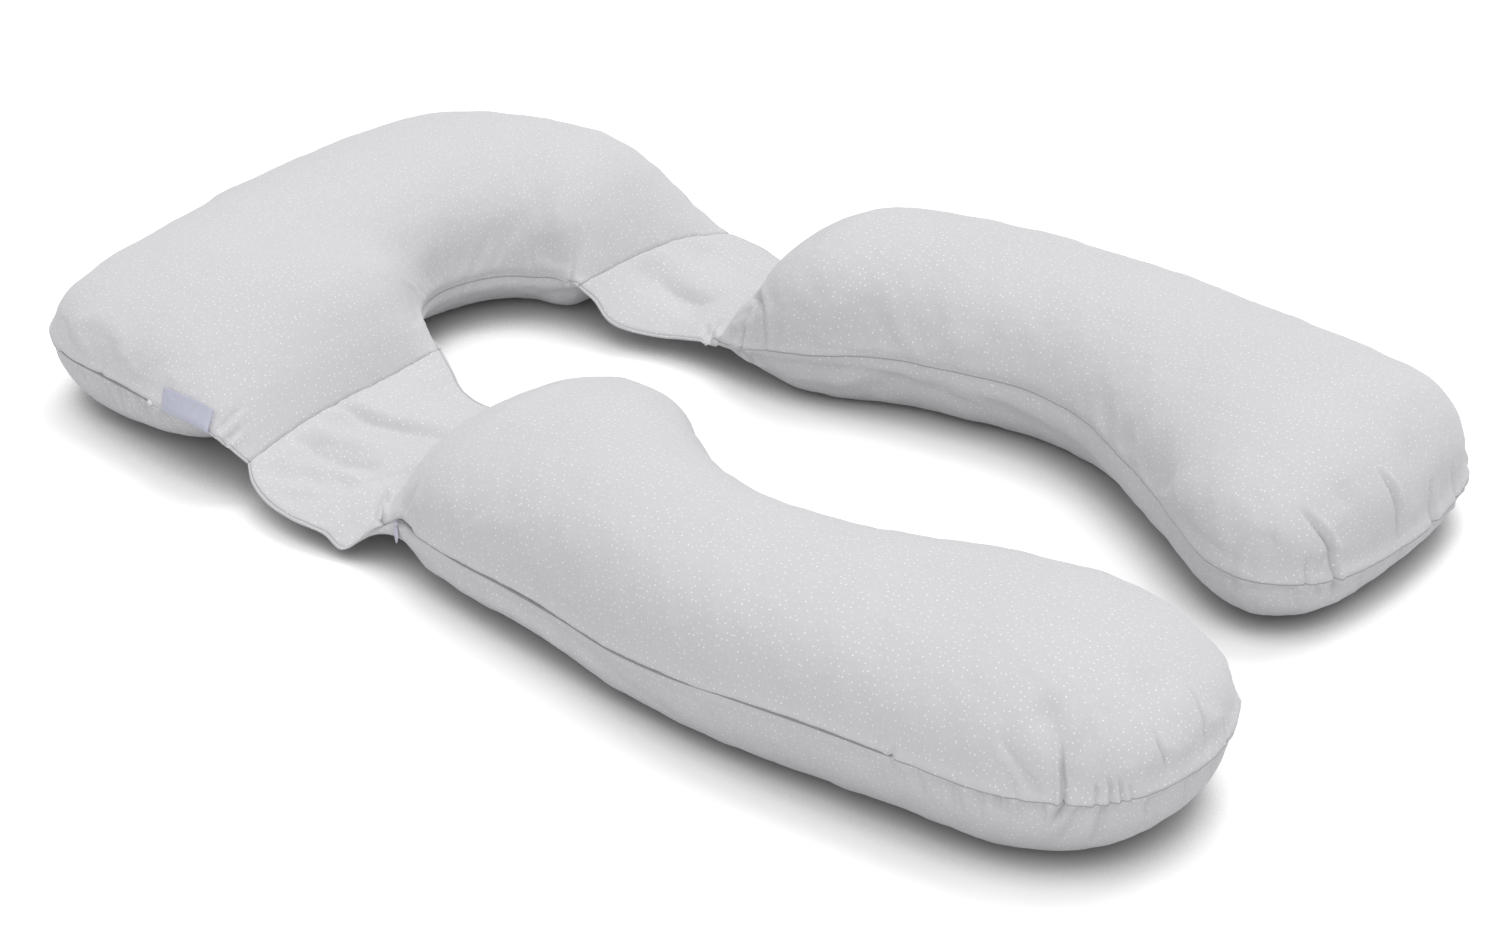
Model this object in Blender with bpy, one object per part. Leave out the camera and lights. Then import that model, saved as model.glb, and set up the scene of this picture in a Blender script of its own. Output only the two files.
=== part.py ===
"""Pregnancy pillow: an arched head cushion and two long side arms, all of one soft dotted cover.

Metres, +Z up.  The pillow rests on z = 0, +Y points to the head cushion, the left arm is on -X.
Each cushion is a pouch: an outline seam at half height, a crowned top and a belly that rolls
under to a flat resting patch.  The cover of each arm runs on, unfilled, as a flat neck of two
cloth layers up to the stitched end seam of the head cushion.
"""
import bpy
import bmesh
import numpy as np

# Driving sizes in metres
LENGTH = 1.29
WIDTH = 0.79
CLOTH_PAIR = 0.0040
SEAM_EDGE = 0.0024
PIECE_GAP = 0.0004
LEFT_NECK = 0.162
RIGHT_NECK = 0.148
SHOULDER_ROLL = 0.095
HEAD_LEFT_ROLL = 0.100
HEAD_RIGHT_ROLL = 0.075
FLAT_SHARE = 0.50
FULLNESS = 0.90
FLOOR_CLEARANCE = 0.0020
PLAN_MIDDLE = (0.0037, -0.0082, 0.0)

# Zips, puller and label in metres
ZIP_HEIGHT = 0.0036
ZIP_DEPTH = 0.0014
ZIP_REACH_ARM = (0.128, -0.468)
ZIP_REACH_HEAD = (0.556, 0.424)
PULL_LENGTH = 0.021
PULL_WIDTH = 0.0060
PULL_DEPTH = 0.0014
LABEL_REACH = (0.396, 0.345)
LABEL_HEIGHT = 0.022
LABEL_LEAN = 0.010
LABEL_DEPTH = 0.0012

# Mesh density
COLUMNS = 9
NECK_ROWS = 11
ROLL_ROWS = 7
BODY_ROWS = 18
FOOT_ROWS = 22
HEAD_ROWS = 34

# Left arm from the stitched end seam to the foot
# outer x, outer y, outer z, inner x, inner y, inner z, sheet height, crown height
LEFT_ARM = (
    (-0.325, 0.316, 0.037, -0.073, 0.322, 0.050, 0.050, 0.060),
    (-0.337, 0.300, 0.030, -0.082, 0.300, 0.040, 0.052, 0.080),
    (-0.349, 0.268, 0.024, -0.094, 0.272, 0.030, 0.050, 0.100),
    (-0.352, 0.235, 0.022, -0.096, 0.240, 0.028, 0.048, 0.115),
    (-0.348, 0.200, 0.022, -0.088, 0.205, 0.030, 0.048, 0.125),
    (-0.341, 0.167, 0.024, -0.074, 0.165, 0.040, 0.052, 0.132),
    (-0.330, 0.130, 0.050, -0.064, 0.125, 0.055, 0.058, 0.128),
    (-0.344, 0.085, 0.056, -0.062, 0.075, 0.064, 0.060, 0.140),
    (-0.354, 0.035, 0.058, -0.074, 0.020, 0.068, 0.062, 0.151),
    (-0.361, -0.030, 0.060, -0.124, -0.050, 0.070, 0.064, 0.160),
    (-0.370, -0.100, 0.061, -0.162, -0.120, 0.072, 0.066, 0.162),
    (-0.384, -0.170, 0.064, -0.175, -0.185, 0.072, 0.068, 0.162),
    (-0.391, -0.240, 0.070, -0.165, -0.250, 0.072, 0.070, 0.163),
    (-0.391, -0.310, 0.077, -0.140, -0.325, 0.074, 0.074, 0.165),
    (-0.386, -0.390, 0.081, -0.110, -0.400, 0.076, 0.076, 0.167),
    (-0.380, -0.465, 0.082, -0.088, -0.475, 0.078, 0.078, 0.168),
)
# Seam round the left foot, from the outer to the inner side: x, y, z
LEFT_FOOT = (
    (-0.376, -0.510, 0.082),
    (-0.369, -0.552, 0.081),
    (-0.352, -0.593, 0.080),
    (-0.330, -0.624, 0.079),
    (-0.299, -0.644, 0.079),
    (-0.258, -0.654, 0.079),
    (-0.212, -0.654, 0.080),
    (-0.170, -0.643, 0.080),
    (-0.129, -0.617, 0.080),
    (-0.100, -0.572, 0.079),
    (-0.087, -0.523, 0.078),
)
# Right arm from the stitched end seam to the foot, same columns as the left arm
RIGHT_ARM = (
    (0.290, 0.288, 0.042, 0.098, 0.310, 0.052, 0.060, 0.060),
    (0.302, 0.268, 0.034, 0.102, 0.295, 0.042, 0.054, 0.090),
    (0.308, 0.242, 0.024, 0.098, 0.270, 0.028, 0.048, 0.115),
    (0.308, 0.213, 0.020, 0.110, 0.235, 0.022, 0.046, 0.128),
    (0.306, 0.185, 0.024, 0.120, 0.200, 0.026, 0.048, 0.134),
    (0.308, 0.155, 0.036, 0.122, 0.165, 0.034, 0.052, 0.140),
    (0.318, 0.125, 0.054, 0.113, 0.128, 0.044, 0.058, 0.146),
    (0.335, 0.090, 0.064, 0.113, 0.088, 0.055, 0.062, 0.151),
    (0.358, 0.042, 0.070, 0.122, 0.050, 0.061, 0.066, 0.153),
    (0.381, -0.025, 0.072, 0.153, -0.018, 0.068, 0.070, 0.150),
    (0.395, -0.095, 0.072, 0.170, -0.088, 0.071, 0.072, 0.147),
    (0.400, -0.165, 0.072, 0.183, -0.148, 0.072, 0.072, 0.146),
    (0.400, -0.238, 0.072, 0.177, -0.215, 0.072, 0.072, 0.148),
    (0.401, -0.312, 0.070, 0.145, -0.285, 0.072, 0.072, 0.152),
    (0.399, -0.382, 0.064, 0.110, -0.350, 0.071, 0.070, 0.156),
    (0.394, -0.442, 0.058, 0.071, -0.409, 0.070, 0.066, 0.158),
)
# Seam round the right foot: x, y, z
RIGHT_FOOT = (
    (0.382, -0.485, 0.052),
    (0.355, -0.515, 0.047),
    (0.310, -0.533, 0.046),
    (0.257, -0.543, 0.046),
    (0.204, -0.548, 0.048),
    (0.148, -0.547, 0.051),
    (0.109, -0.543, 0.056),
    (0.072, -0.528, 0.062),
    (0.048, -0.498, 0.066),
    (0.047, -0.458, 0.069),
)
# Head cushion along its arch, from the left end seam to the right one, same columns
HEAD = (
    (-0.325, 0.316, 0.037, -0.073, 0.322, 0.050, 0.050, 0.136),
    (-0.339, 0.348, 0.062, -0.071, 0.333, 0.053, 0.058, 0.137),
    (-0.343, 0.395, 0.068, -0.067, 0.345, 0.056, 0.062, 0.138),
    (-0.339, 0.442, 0.068, -0.059, 0.359, 0.056, 0.064, 0.139),
    (-0.334, 0.494, 0.067, -0.048, 0.373, 0.054, 0.064, 0.140),
    (-0.328, 0.550, 0.067, -0.034, 0.385, 0.051, 0.064, 0.140),
    (-0.305, 0.594, 0.068, -0.020, 0.395, 0.049, 0.064, 0.140),
    (-0.250, 0.613, 0.069, -0.005, 0.402, 0.047, 0.064, 0.140),
    (-0.178, 0.623, 0.070, 0.009, 0.405, 0.047, 0.064, 0.141),
    (-0.102, 0.632, 0.070, 0.022, 0.405, 0.047, 0.064, 0.141),
    (-0.022, 0.638, 0.070, 0.035, 0.403, 0.047, 0.064, 0.141),
    (0.058, 0.638, 0.070, 0.048, 0.399, 0.047, 0.064, 0.141),
    (0.132, 0.628, 0.070, 0.060, 0.393, 0.047, 0.064, 0.142),
    (0.193, 0.608, 0.070, 0.072, 0.386, 0.047, 0.064, 0.142),
    (0.238, 0.575, 0.070, 0.083, 0.376, 0.047, 0.064, 0.141),
    (0.266, 0.528, 0.070, 0.091, 0.364, 0.047, 0.064, 0.139),
    (0.281, 0.470, 0.070, 0.096, 0.351, 0.049, 0.062, 0.138),
    (0.289, 0.408, 0.066, 0.099, 0.338, 0.051, 0.060, 0.138),
    (0.292, 0.348, 0.055, 0.099, 0.324, 0.052, 0.060, 0.140),
    (0.290, 0.288, 0.042, 0.098, 0.310, 0.052, 0.060, 0.142),
)

# Main folds, each a hollow along a line in plan: x0, y0, x1, y1, depth, half width
LEFT_FOLDS = (
    (-0.229, 0.302, -0.200, 0.240, 0.012, 0.016),
    (-0.200, 0.240, -0.142, 0.199, 0.012, 0.018),
    (-0.272, 0.300, -0.268, 0.225, 0.008, 0.013),
    (-0.318, 0.290, -0.300, 0.225, 0.006, 0.012),
    (-0.345, 0.130, -0.258, 0.174, 0.010, 0.014),
    (-0.322, -0.575, -0.370, -0.635, 0.008, 0.012),
    (-0.237, -0.605, -0.262, -0.652, 0.005, 0.012),
)
RIGHT_FOLDS = (
    (0.172, 0.285, 0.160, 0.225, 0.010, 0.016),
    (0.240, 0.280, 0.232, 0.200, 0.008, 0.018),
    (0.172, 0.150, 0.108, 0.106, 0.009, 0.012),
    (0.143, -0.530, 0.084, -0.600, 0.008, 0.012),
    (0.243, -0.530, 0.179, -0.600, 0.007, 0.014),
)
HEAD_FOLDS = (
    (-0.205, 0.330, -0.215, 0.395, 0.004, 0.014),
    (0.180, 0.325, 0.190, 0.390, 0.004, 0.014),
)


def spline(rows, knots, at):
    """Cubic curve through the rows at the knots, each slope taken from the two neighbours."""
    rows = np.asarray(rows, float)
    slope = np.gradient(rows, knots, axis=0)
    place = np.clip(np.searchsorted(knots, at, side="right") - 1, 0, len(knots) - 2)
    step = (knots[place + 1] - knots[place])[:, None]
    s = (at - knots[place])[:, None] / step
    start = rows[place] * (2 * s**3 - 3 * s**2 + 1) + slope[place] * step * (s**3 - 2 * s**2 + s)
    end = rows[place + 1] * (3 * s**2 - 2 * s**3) + slope[place + 1] * step * (s**3 - s**2)
    return start + end


def lengths(points):
    """Distance run along a row of points, starting at zero."""
    steps = np.linalg.norm(np.diff(points, axis=0), axis=1)
    return np.concatenate([[0.0], np.cumsum(steps)])


def spine_knots(table):
    """Distance run along the middle line of a station table, in plan."""
    rows = np.asarray(table, float)
    return lengths((rows[:, 0:2] + rows[:, 3:5]) / 2)


def swell(distance, reach):
    """Quarter-ellipse rise from 0 at the start to 1 at the reach."""
    share = np.clip(distance / reach, 0.0, 1.0)
    return np.sqrt(1.0 - (1.0 - share) ** 2)


def hollows(x, y, folds):
    """Depth at each plan point of all fold hollows, a bell across each fold line."""
    depth = np.zeros_like(x)
    for x0, y0, x1, y1, deep, half in folds:
        run = np.array([x1 - x0, y1 - y0])
        share = np.clip(((x - x0) * run[0] + (y - y0) * run[1]) / (run @ run), 0.0, 1.0)
        far = np.hypot(x - x0 - share * run[0], y - y0 - share * run[1])
        depth = np.maximum(depth, deep * np.exp(-((far / half) ** 2)))
    return depth


def shell(seam, spine, fill, sheet, crown, share, folds, side):
    """Surface of one half pouch from its seam (share 0) to its spine (share 1).

    On top it rises as a quarter ellipse to the crown; below it rolls under as a quarter
    ellipse to the floor and runs flat to the spine.  Where fill is 0 it is half of a flat
    sheet of two cloth layers.
    """
    fill = fill[:, None]
    turn = share[None, :] * np.pi / 2
    even = np.broadcast_to(share[None, :], (len(seam), len(share)))
    middle = seam[:, 2:3] + (sheet[:, None] - seam[:, 2:3]) * (1 - fill) * np.sin(turn)
    half_pair = (SEAM_EDGE + (CLOTH_PAIR - SEAM_EDGE) * np.sin(turn)) / 2
    if side == "top":
        across = even * (1 - fill) + (1 - np.cos(turn)) * fill
    else:
        roll = np.clip(share / (2 / 3), 0, 1) * np.pi / 2
        flat = np.clip((share - 2 / 3) * 3, 0, 1)
        curved = FLAT_SHARE * (1 - np.cos(roll)) + (1 - FLAT_SHARE) * flat
        across = even * (1 - fill) + curved[None, :] * fill
    x = seam[:, 0:1] + (spine[:, 0:1] - seam[:, 0:1]) * across
    y = seam[:, 1:2] + (spine[:, 1:2] - seam[:, 1:2]) * across
    hollow = hollows(x, y, folds) * np.sin(turn) ** 0.5
    if side == "top":
        level = middle + half_pair
        z = level + (crown[:, None] - level) * fill * np.sin(turn) ** FULLNESS - hollow
    else:
        level = middle - half_pair - hollow * (1 - fill)
        z = np.maximum(level, FLOOR_CLEARANCE) * (1 - fill * np.sin(roll)[None, :])
    return np.stack([x, y, z], axis=2)


def stations(table, at):
    """Outer seam, inner seam, spine, sheet height and crown height at places along the spine."""
    found = spline(table, spine_knots(table), at)
    outer = found[:, 0:3]
    inner = found[:, 3:6]
    spine = (outer[:, 0:2] + inner[:, 0:2]) / 2
    return outer, inner, spine, found[:, 6], found[:, 7]


def body_grid(table, at, fill, folds, side):
    """Whole cross-sections, outer seam to inner seam, at places along the spine."""
    outer, inner, spine, sheet, crown = stations(table, at)
    share = np.linspace(0.0, 1.0, COLUMNS + 1)
    first = shell(outer, spine, fill, sheet, crown, share, folds, side)
    second = shell(inner, spine, fill, sheet, crown, share, folds, side)
    return np.concatenate([first, second[:, -2::-1]], axis=1)


def foot_grid(table, foot, folds, side):
    """Fan of half sections round the foot, sharing the last spine point of the arm."""
    outer, inner, spine, sheet, crown = stations(table, spine_knots(table)[-1:])
    rows = np.asarray(table, float)
    path = np.vstack([rows[-3:, 0:3], np.asarray(foot, float), rows[:-4:-1, 3:6]])
    knots = lengths(path)
    at = np.linspace(knots[2], knots[-3], FOOT_ROWS + 1)
    seam = spline(path, knots, at)
    many = np.ones(len(at))
    share = np.linspace(0.0, 1.0, COLUMNS + 1)
    middle = spine.repeat(len(at), axis=0)
    return shell(seam, middle, many, sheet[0] * many, crown[0] * many, share, folds, side)


def patch(mesh, points):
    """Four-sided faces over a grid of points; the merge below closes shared edges."""
    rows, columns = points.shape[:2]
    corners = [mesh.verts.new(p) for p in points.reshape(-1, 3).tolist()]
    for i in range(rows - 1):
        for j in range(columns - 1):
            a = i * columns + j
            ring = (corners[a], corners[a + 1], corners[a + columns + 1], corners[a + columns])
            mesh.faces.new(ring)


def finish(name, mesh, origin, colour, sharp=None):
    """Close the skin, turn it outward, triangulate and store it as one object."""
    bmesh.ops.remove_doubles(mesh, verts=mesh.verts[:], dist=0.00005)
    bmesh.ops.dissolve_degenerate(mesh, dist=0.00005, edges=mesh.edges[:])
    bmesh.ops.triangulate(mesh, faces=mesh.faces[:])
    bmesh.ops.recalc_face_normals(mesh, faces=mesh.faces[:])
    bmesh.ops.translate(mesh, verts=mesh.verts[:], vec=[-c for c in origin])
    data = bpy.data.meshes.new(name)
    mesh.to_mesh(data)
    mesh.free()
    material = bpy.data.materials.new(name + "_finish")
    material.use_nodes = True
    base = material.node_tree.nodes["Principled BSDF"]
    base.inputs["Base Color"].default_value = (*colour, 1.0)
    base.inputs["Roughness"].default_value = 0.85
    data.materials.append(material)
    thing = bpy.data.objects.new(name, data)
    thing.location = [c - m for c, m in zip(origin, PLAN_MIDDLE)]
    bpy.context.scene.collection.objects.link(thing)
    if sharp is None:
        data.shade_smooth()
    else:
        data.shade_smooth()
        data.set_sharp_from_angle(angle=sharp)
    return thing


def arm_places(table, neck):
    """Places along an arm's spine: even in the neck and body, closer where it swells."""
    flat = np.linspace(0.0, neck, NECK_ROWS + 1)
    roll = neck + SHOULDER_ROLL * (1 - np.cos(np.linspace(0, np.pi / 2, ROLL_ROWS + 1)))
    body = np.linspace(neck + SHOULDER_ROLL, spine_knots(table)[-1], BODY_ROWS + 1)
    return np.concatenate([flat, roll[1:], body[1:]])


def make_arm(name, table, foot, neck, folds, origin):
    """One arm with its neck, moved half a gap away from the head cushion's end seam."""
    at = arm_places(table, neck)
    fill = swell(at - neck, SHOULDER_ROLL)
    mesh = bmesh.new()
    shift = np.array([0.0, -PIECE_GAP / 2, 0.0])
    top = body_grid(table, at, fill, folds, "top") + shift
    under = body_grid(table, at, fill, folds, "bottom") + shift
    foot_top = foot_grid(table, foot, folds, "top") + shift
    foot_under = foot_grid(table, foot, folds, "bottom") + shift
    patch(mesh, top)
    patch(mesh, under)
    patch(mesh, foot_top)
    patch(mesh, foot_under)
    for column in (0, -1):
        patch(mesh, np.stack([top[:, column], under[:, column]], axis=1))
    patch(mesh, np.stack([foot_top[:, 0], foot_under[:, 0]], axis=1))
    patch(mesh, np.stack([top[0], under[0]], axis=1))
    return finish(name, mesh, origin, (0.67, 0.67, 0.69))


def head_places():
    """Places along the head cushion's spine, closer at both stitched ends."""
    total = spine_knots(HEAD)[-1]
    roll = 1 - np.cos(np.linspace(0, np.pi / 2, ROLL_ROWS + 1))
    middle = np.linspace(HEAD_LEFT_ROLL, total - HEAD_RIGHT_ROLL, HEAD_ROWS + 1)
    return np.concatenate([HEAD_LEFT_ROLL * roll[:-1], middle, total - HEAD_RIGHT_ROLL * roll[-2::-1]])


def head_fill(at):
    """The head cushion's fill at places along its spine, none at both end seams."""
    total = spine_knots(HEAD)[-1]
    return np.minimum(swell(at, HEAD_LEFT_ROLL), swell(total - at, HEAD_RIGHT_ROLL))


def make_head(origin):
    """The arched head cushion between its two stitched end seams."""
    at = head_places()
    mesh = bmesh.new()
    shift = np.array([0.0, PIECE_GAP / 2, 0.0])
    top = body_grid(HEAD, at, head_fill(at), HEAD_FOLDS, "top") + shift
    under = body_grid(HEAD, at, head_fill(at), HEAD_FOLDS, "bottom") + shift
    patch(mesh, top)
    patch(mesh, under)
    for column in (0, -1):
        patch(mesh, np.stack([top[:, column], under[:, column]], axis=1))
    for row in (0, -1):
        patch(mesh, np.stack([top[row], under[row]], axis=1))
    return finish("head_cushion", mesh, origin, (0.67, 0.67, 0.69))


def strip(name, path, height, depth, colour):
    """A closed zip lying along a seam, clear of the cover, with square edges."""
    run = np.gradient(path, axis=0)
    run[:, 2] = 0.0
    out = np.stack([run[:, 1], -run[:, 0], np.zeros(len(run))], axis=1)
    out /= np.linalg.norm(out, axis=1)[:, None]
    centre = path.mean(axis=0) + np.array([0.12, 0.0, 0.0])
    out *= np.sign(((path - centre) * out).sum(axis=1))[:, None]
    near = path + out * (PIECE_GAP + 0.0001)
    far = near + out * depth
    up = np.array([0.0, 0.0, height / 2])
    ring = np.stack([near - up, far - up, far + up, near + up, near - up], axis=1)
    mesh = bmesh.new()
    patch(mesh, ring)
    for end in (ring[0], ring[-1]):
        mesh.faces.new([mesh.verts.new(p) for p in end[:4].tolist()])
    origin = tuple(path[len(path) // 2].tolist())
    return finish(name, mesh, origin, colour, sharp=0.7)


def outer_seam(table, at, reach):
    """Points of the outer seam between two places along Y, ends trimmed to those places."""
    outer = stations(table, at)[0]
    order = np.argsort(outer[:, 1])
    keep = outer[order]
    inside = keep[(keep[:, 1] < reach[0] - 0.002) & (keep[:, 1] > reach[1] + 0.002)]
    ends = [[np.interp(y, keep[:, 1], keep[:, 0]), y, np.interp(y, keep[:, 1], keep[:, 2])] for y in reach]
    return np.vstack([ends[0], inside[::-1], ends[1]])


def make_pull(name, top, out, side, size, colour):
    """A flat leaf-shaped zip puller hanging straight down from the zip's start."""
    long, wide, deep = size
    share = np.linspace(0.0, 1.0, 9)
    half = wide / 2 * (0.35 + 0.65 * np.sin(np.pi * share**0.8))
    middle = np.asarray(top) + np.array([0.0, 0.0, -1.0]) * (share[:, None] * long)
    left = middle + side * half[:, None]
    right = middle - side * half[:, None]
    ring = np.stack([left, right, right + out * deep, left + out * deep, left], axis=1)
    mesh = bmesh.new()
    patch(mesh, ring)
    for end in (ring[0], ring[-1]):
        mesh.faces.new([mesh.verts.new(p) for p in end[:4].tolist()])
    return finish(name, mesh, tuple(np.asarray(top).tolist()), colour, sharp=0.7)


def make_label():
    """The blank care label: sewn into the head cushion's side seam and folded up over the top."""
    fine = np.linspace(0.0, spine_knots(HEAD)[-1] * 0.35, 400)
    seam_y = stations(HEAD, fine)[0][:, 1]
    sewn = np.interp(np.linspace(LABEL_REACH[1], LABEL_REACH[0], 13), seam_y, fine)
    share = np.linspace(0.0, 0.6, 240)
    skin = []
    normal = []
    for level in np.linspace(0.0, 1.0, 9):
        at = sewn + LABEL_LEAN * level
        outer, inner, spine, sheet, crown = stations(HEAD, at)
        face = shell(outer, spine, head_fill(at), sheet, crown, share, HEAD_FOLDS, "top")
        out = np.cross(np.gradient(face, axis=1), np.gradient(face, axis=0))
        out /= np.linalg.norm(out, axis=2)[:, :, None]
        out *= np.sign(out[:, -1:, 2:3])
        wanted = 0.0015 + LABEL_HEIGHT * level
        pick = [int(np.rint(np.interp(wanted, lengths(row), np.arange(len(row))))) for row in face]
        skin.append(face[np.arange(len(at)), pick])
        normal.append(out[np.arange(len(at)), pick])
    skin = np.stack(skin, axis=1)
    normal = np.stack(normal, axis=1)
    shift = np.array([0.0, PIECE_GAP / 2, 0.0])
    near = skin + normal * (PIECE_GAP + 0.0004) + shift
    far = near + normal * LABEL_DEPTH
    mesh = bmesh.new()
    patch(mesh, near)
    patch(mesh, far)
    for k in (0, -1):
        patch(mesh, np.stack([near[k], far[k]], axis=1))
        patch(mesh, np.stack([near[:, k], far[:, k]], axis=1))
    return finish("side_label", mesh, tuple(near[6, 0].tolist()), (0.56, 0.56, 0.68), sharp=0.7)


def main():
    for thing in list(bpy.data.objects):
        bpy.data.objects.remove(thing, do_unlink=True)
    make_head((-0.03, 0.48, 0.0))
    make_arm("left_arm", LEFT_ARM, LEFT_FOOT, LEFT_NECK, LEFT_FOLDS, (-0.25, -0.20, 0.0))
    make_arm("right_arm", RIGHT_ARM, RIGHT_FOOT, RIGHT_NECK, RIGHT_FOLDS, (0.27, -0.20, 0.0))
    path = outer_seam(LEFT_ARM, arm_places(LEFT_ARM, LEFT_NECK), ZIP_REACH_ARM)
    strip("arm_zip", path, ZIP_HEIGHT, ZIP_DEPTH, (0.45, 0.45, 0.48))
    head_path = outer_seam(HEAD, head_places()[:20], ZIP_REACH_HEAD)
    strip("head_zip", head_path, ZIP_HEIGHT, ZIP_DEPTH, (0.45, 0.45, 0.48))
    side = (path[1] - path[0]) / np.linalg.norm(path[1] - path[0])
    out = np.array([side[1], -side[0], 0.0]) / np.hypot(side[0], side[1])
    out *= -np.sign(out[0])
    seat = path[0] + side * 0.003 + out * (2 * PIECE_GAP + ZIP_DEPTH) + np.array([0.0, 0.0, 0.0015])
    make_pull("arm_zip_pull", seat, out, side, (PULL_LENGTH, PULL_WIDTH, PULL_DEPTH), (0.60, 0.60, 0.70))
    make_label()


main()
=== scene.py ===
# %% [markdown]
# Pregnancy pillow: an arched head cushion and two long arms, all in one soft dotted cover.
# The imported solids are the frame.  Each cushion of the frame is dressed here with a finer skin:
# the same pouch, with sewn seams, gathers, tucks and the soft waves that filling gives to cloth.

# %% Load the frame and keep its box
import math

import bpy
import numpy as np
from mathutils import Matrix, Vector


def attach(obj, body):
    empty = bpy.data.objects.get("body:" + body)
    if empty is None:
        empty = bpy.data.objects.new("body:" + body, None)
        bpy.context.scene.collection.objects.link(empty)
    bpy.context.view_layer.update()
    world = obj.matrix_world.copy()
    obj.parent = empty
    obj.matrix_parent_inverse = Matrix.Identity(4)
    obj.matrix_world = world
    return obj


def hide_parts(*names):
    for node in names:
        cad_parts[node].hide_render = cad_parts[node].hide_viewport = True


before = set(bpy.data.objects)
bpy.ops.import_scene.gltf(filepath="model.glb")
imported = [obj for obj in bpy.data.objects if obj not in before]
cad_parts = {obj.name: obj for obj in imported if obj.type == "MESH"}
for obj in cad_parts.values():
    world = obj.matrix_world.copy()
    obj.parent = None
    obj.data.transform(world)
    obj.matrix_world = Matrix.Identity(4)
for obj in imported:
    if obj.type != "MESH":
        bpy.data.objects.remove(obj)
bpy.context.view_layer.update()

# %% [markdown]
# The camera looks from beyond the left foot, a little down, as in the photograph.  It is built
# from a turn, a rise and a distance, so that each value can be read and changed by hand.

# %% Camera
VIEW_TURN = math.radians(-49.0)
VIEW_RISE = math.radians(29.0)
VIEW_DISTANCE = 4.36
VIEW_TARGET = Vector((-0.0737, -0.0418, 0.060))
VIEW_LENS_MM = 120.0
SENSOR_MM = 36.0


def view_axes():
    """Right, up and back of the camera: back leaves the target at the turn and rise."""
    flat = math.cos(VIEW_RISE)
    back = Vector((math.sin(VIEW_TURN) * flat, -math.cos(VIEW_TURN) * flat, math.sin(VIEW_RISE)))
    right = Vector((math.cos(VIEW_TURN), math.sin(VIEW_TURN), 0.0))
    return right, back.cross(right), back


def set_camera():
    right, up, back = view_axes()
    lens = bpy.data.cameras.new("view")
    lens.lens = VIEW_LENS_MM
    lens.sensor_width = SENSOR_MM
    camera = bpy.data.objects.new("view", lens)
    camera.matrix_world = Matrix((right, up, back)).transposed().to_4x4()
    camera.location = VIEW_TARGET + back * VIEW_DISTANCE
    bpy.context.scene.collection.objects.link(camera)
    bpy.context.scene.camera = camera


set_camera()
print("camera at", [round(v, 2) for v in bpy.context.scene.camera.location])

# %% [markdown]
# A pouch is drawn by its outline seam.  Each row of a table is one station along the cushion:
# the outer seam point, the inner seam point, the height of the flat sheet and of the crown.
# The tables hold the same sizes as the solids of the frame, so the skin lies on them.

# %% Sizes of the cover, in metres
CLOTH_PAIR = 0.0040
PIECE_GAP = 0.0004
LEFT_NECK = 0.162
RIGHT_NECK = 0.148
SHOULDER_ROLL = 0.095
HEAD_LEFT_ROLL = 0.135
HEAD_RIGHT_ROLL = 0.100
FLAT_SHARE = 0.50
FULLNESS = 0.90
FLOOR_CLEARANCE = 0.0020
PLAN_MIDDLE = np.array([0.0037, -0.0082, 0.0])

# %% Stations and foot seams
# outer x, outer y, outer z, inner x, inner y, inner z, sheet height, crown height
LEFT_ARM = np.array([
    (-0.325, 0.316, 0.037, -0.073, 0.322, 0.050, 0.050, 0.060),
    (-0.337, 0.300, 0.030, -0.082, 0.300, 0.040, 0.052, 0.080),
    (-0.349, 0.268, 0.024, -0.094, 0.272, 0.030, 0.050, 0.100),
    (-0.352, 0.235, 0.022, -0.096, 0.240, 0.028, 0.048, 0.115),
    (-0.348, 0.200, 0.020, -0.088, 0.205, 0.030, 0.048, 0.125),
    (-0.346, 0.177, 0.012, -0.077, 0.175, 0.036, 0.050, 0.130),
    (-0.336, 0.156, 0.030, -0.071, 0.154, 0.044, 0.053, 0.130),
    (-0.330, 0.130, 0.050, -0.064, 0.125, 0.055, 0.058, 0.128),
    (-0.344, 0.085, 0.056, -0.062, 0.075, 0.064, 0.060, 0.140),
    (-0.354, 0.035, 0.058, -0.074, 0.020, 0.068, 0.062, 0.151),
    (-0.361, -0.030, 0.060, -0.124, -0.050, 0.070, 0.064, 0.160),
    (-0.370, -0.100, 0.061, -0.162, -0.120, 0.072, 0.066, 0.162),
    (-0.384, -0.170, 0.064, -0.175, -0.185, 0.072, 0.068, 0.162),
    (-0.391, -0.240, 0.070, -0.165, -0.250, 0.072, 0.070, 0.163),
    (-0.391, -0.310, 0.077, -0.140, -0.325, 0.074, 0.074, 0.165),
    (-0.386, -0.390, 0.081, -0.110, -0.400, 0.076, 0.076, 0.167),
    (-0.380, -0.465, 0.082, -0.088, -0.475, 0.078, 0.078, 0.168),
])
LEFT_FOOT = np.array([
    (-0.376, -0.510, 0.082),
    (-0.369, -0.552, 0.081),
    (-0.352, -0.593, 0.080),
    (-0.330, -0.624, 0.079),
    (-0.299, -0.644, 0.079),
    (-0.258, -0.654, 0.079),
    (-0.212, -0.654, 0.080),
    (-0.170, -0.643, 0.080),
    (-0.129, -0.617, 0.080),
    (-0.100, -0.572, 0.079),
    (-0.087, -0.523, 0.078),
])
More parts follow.
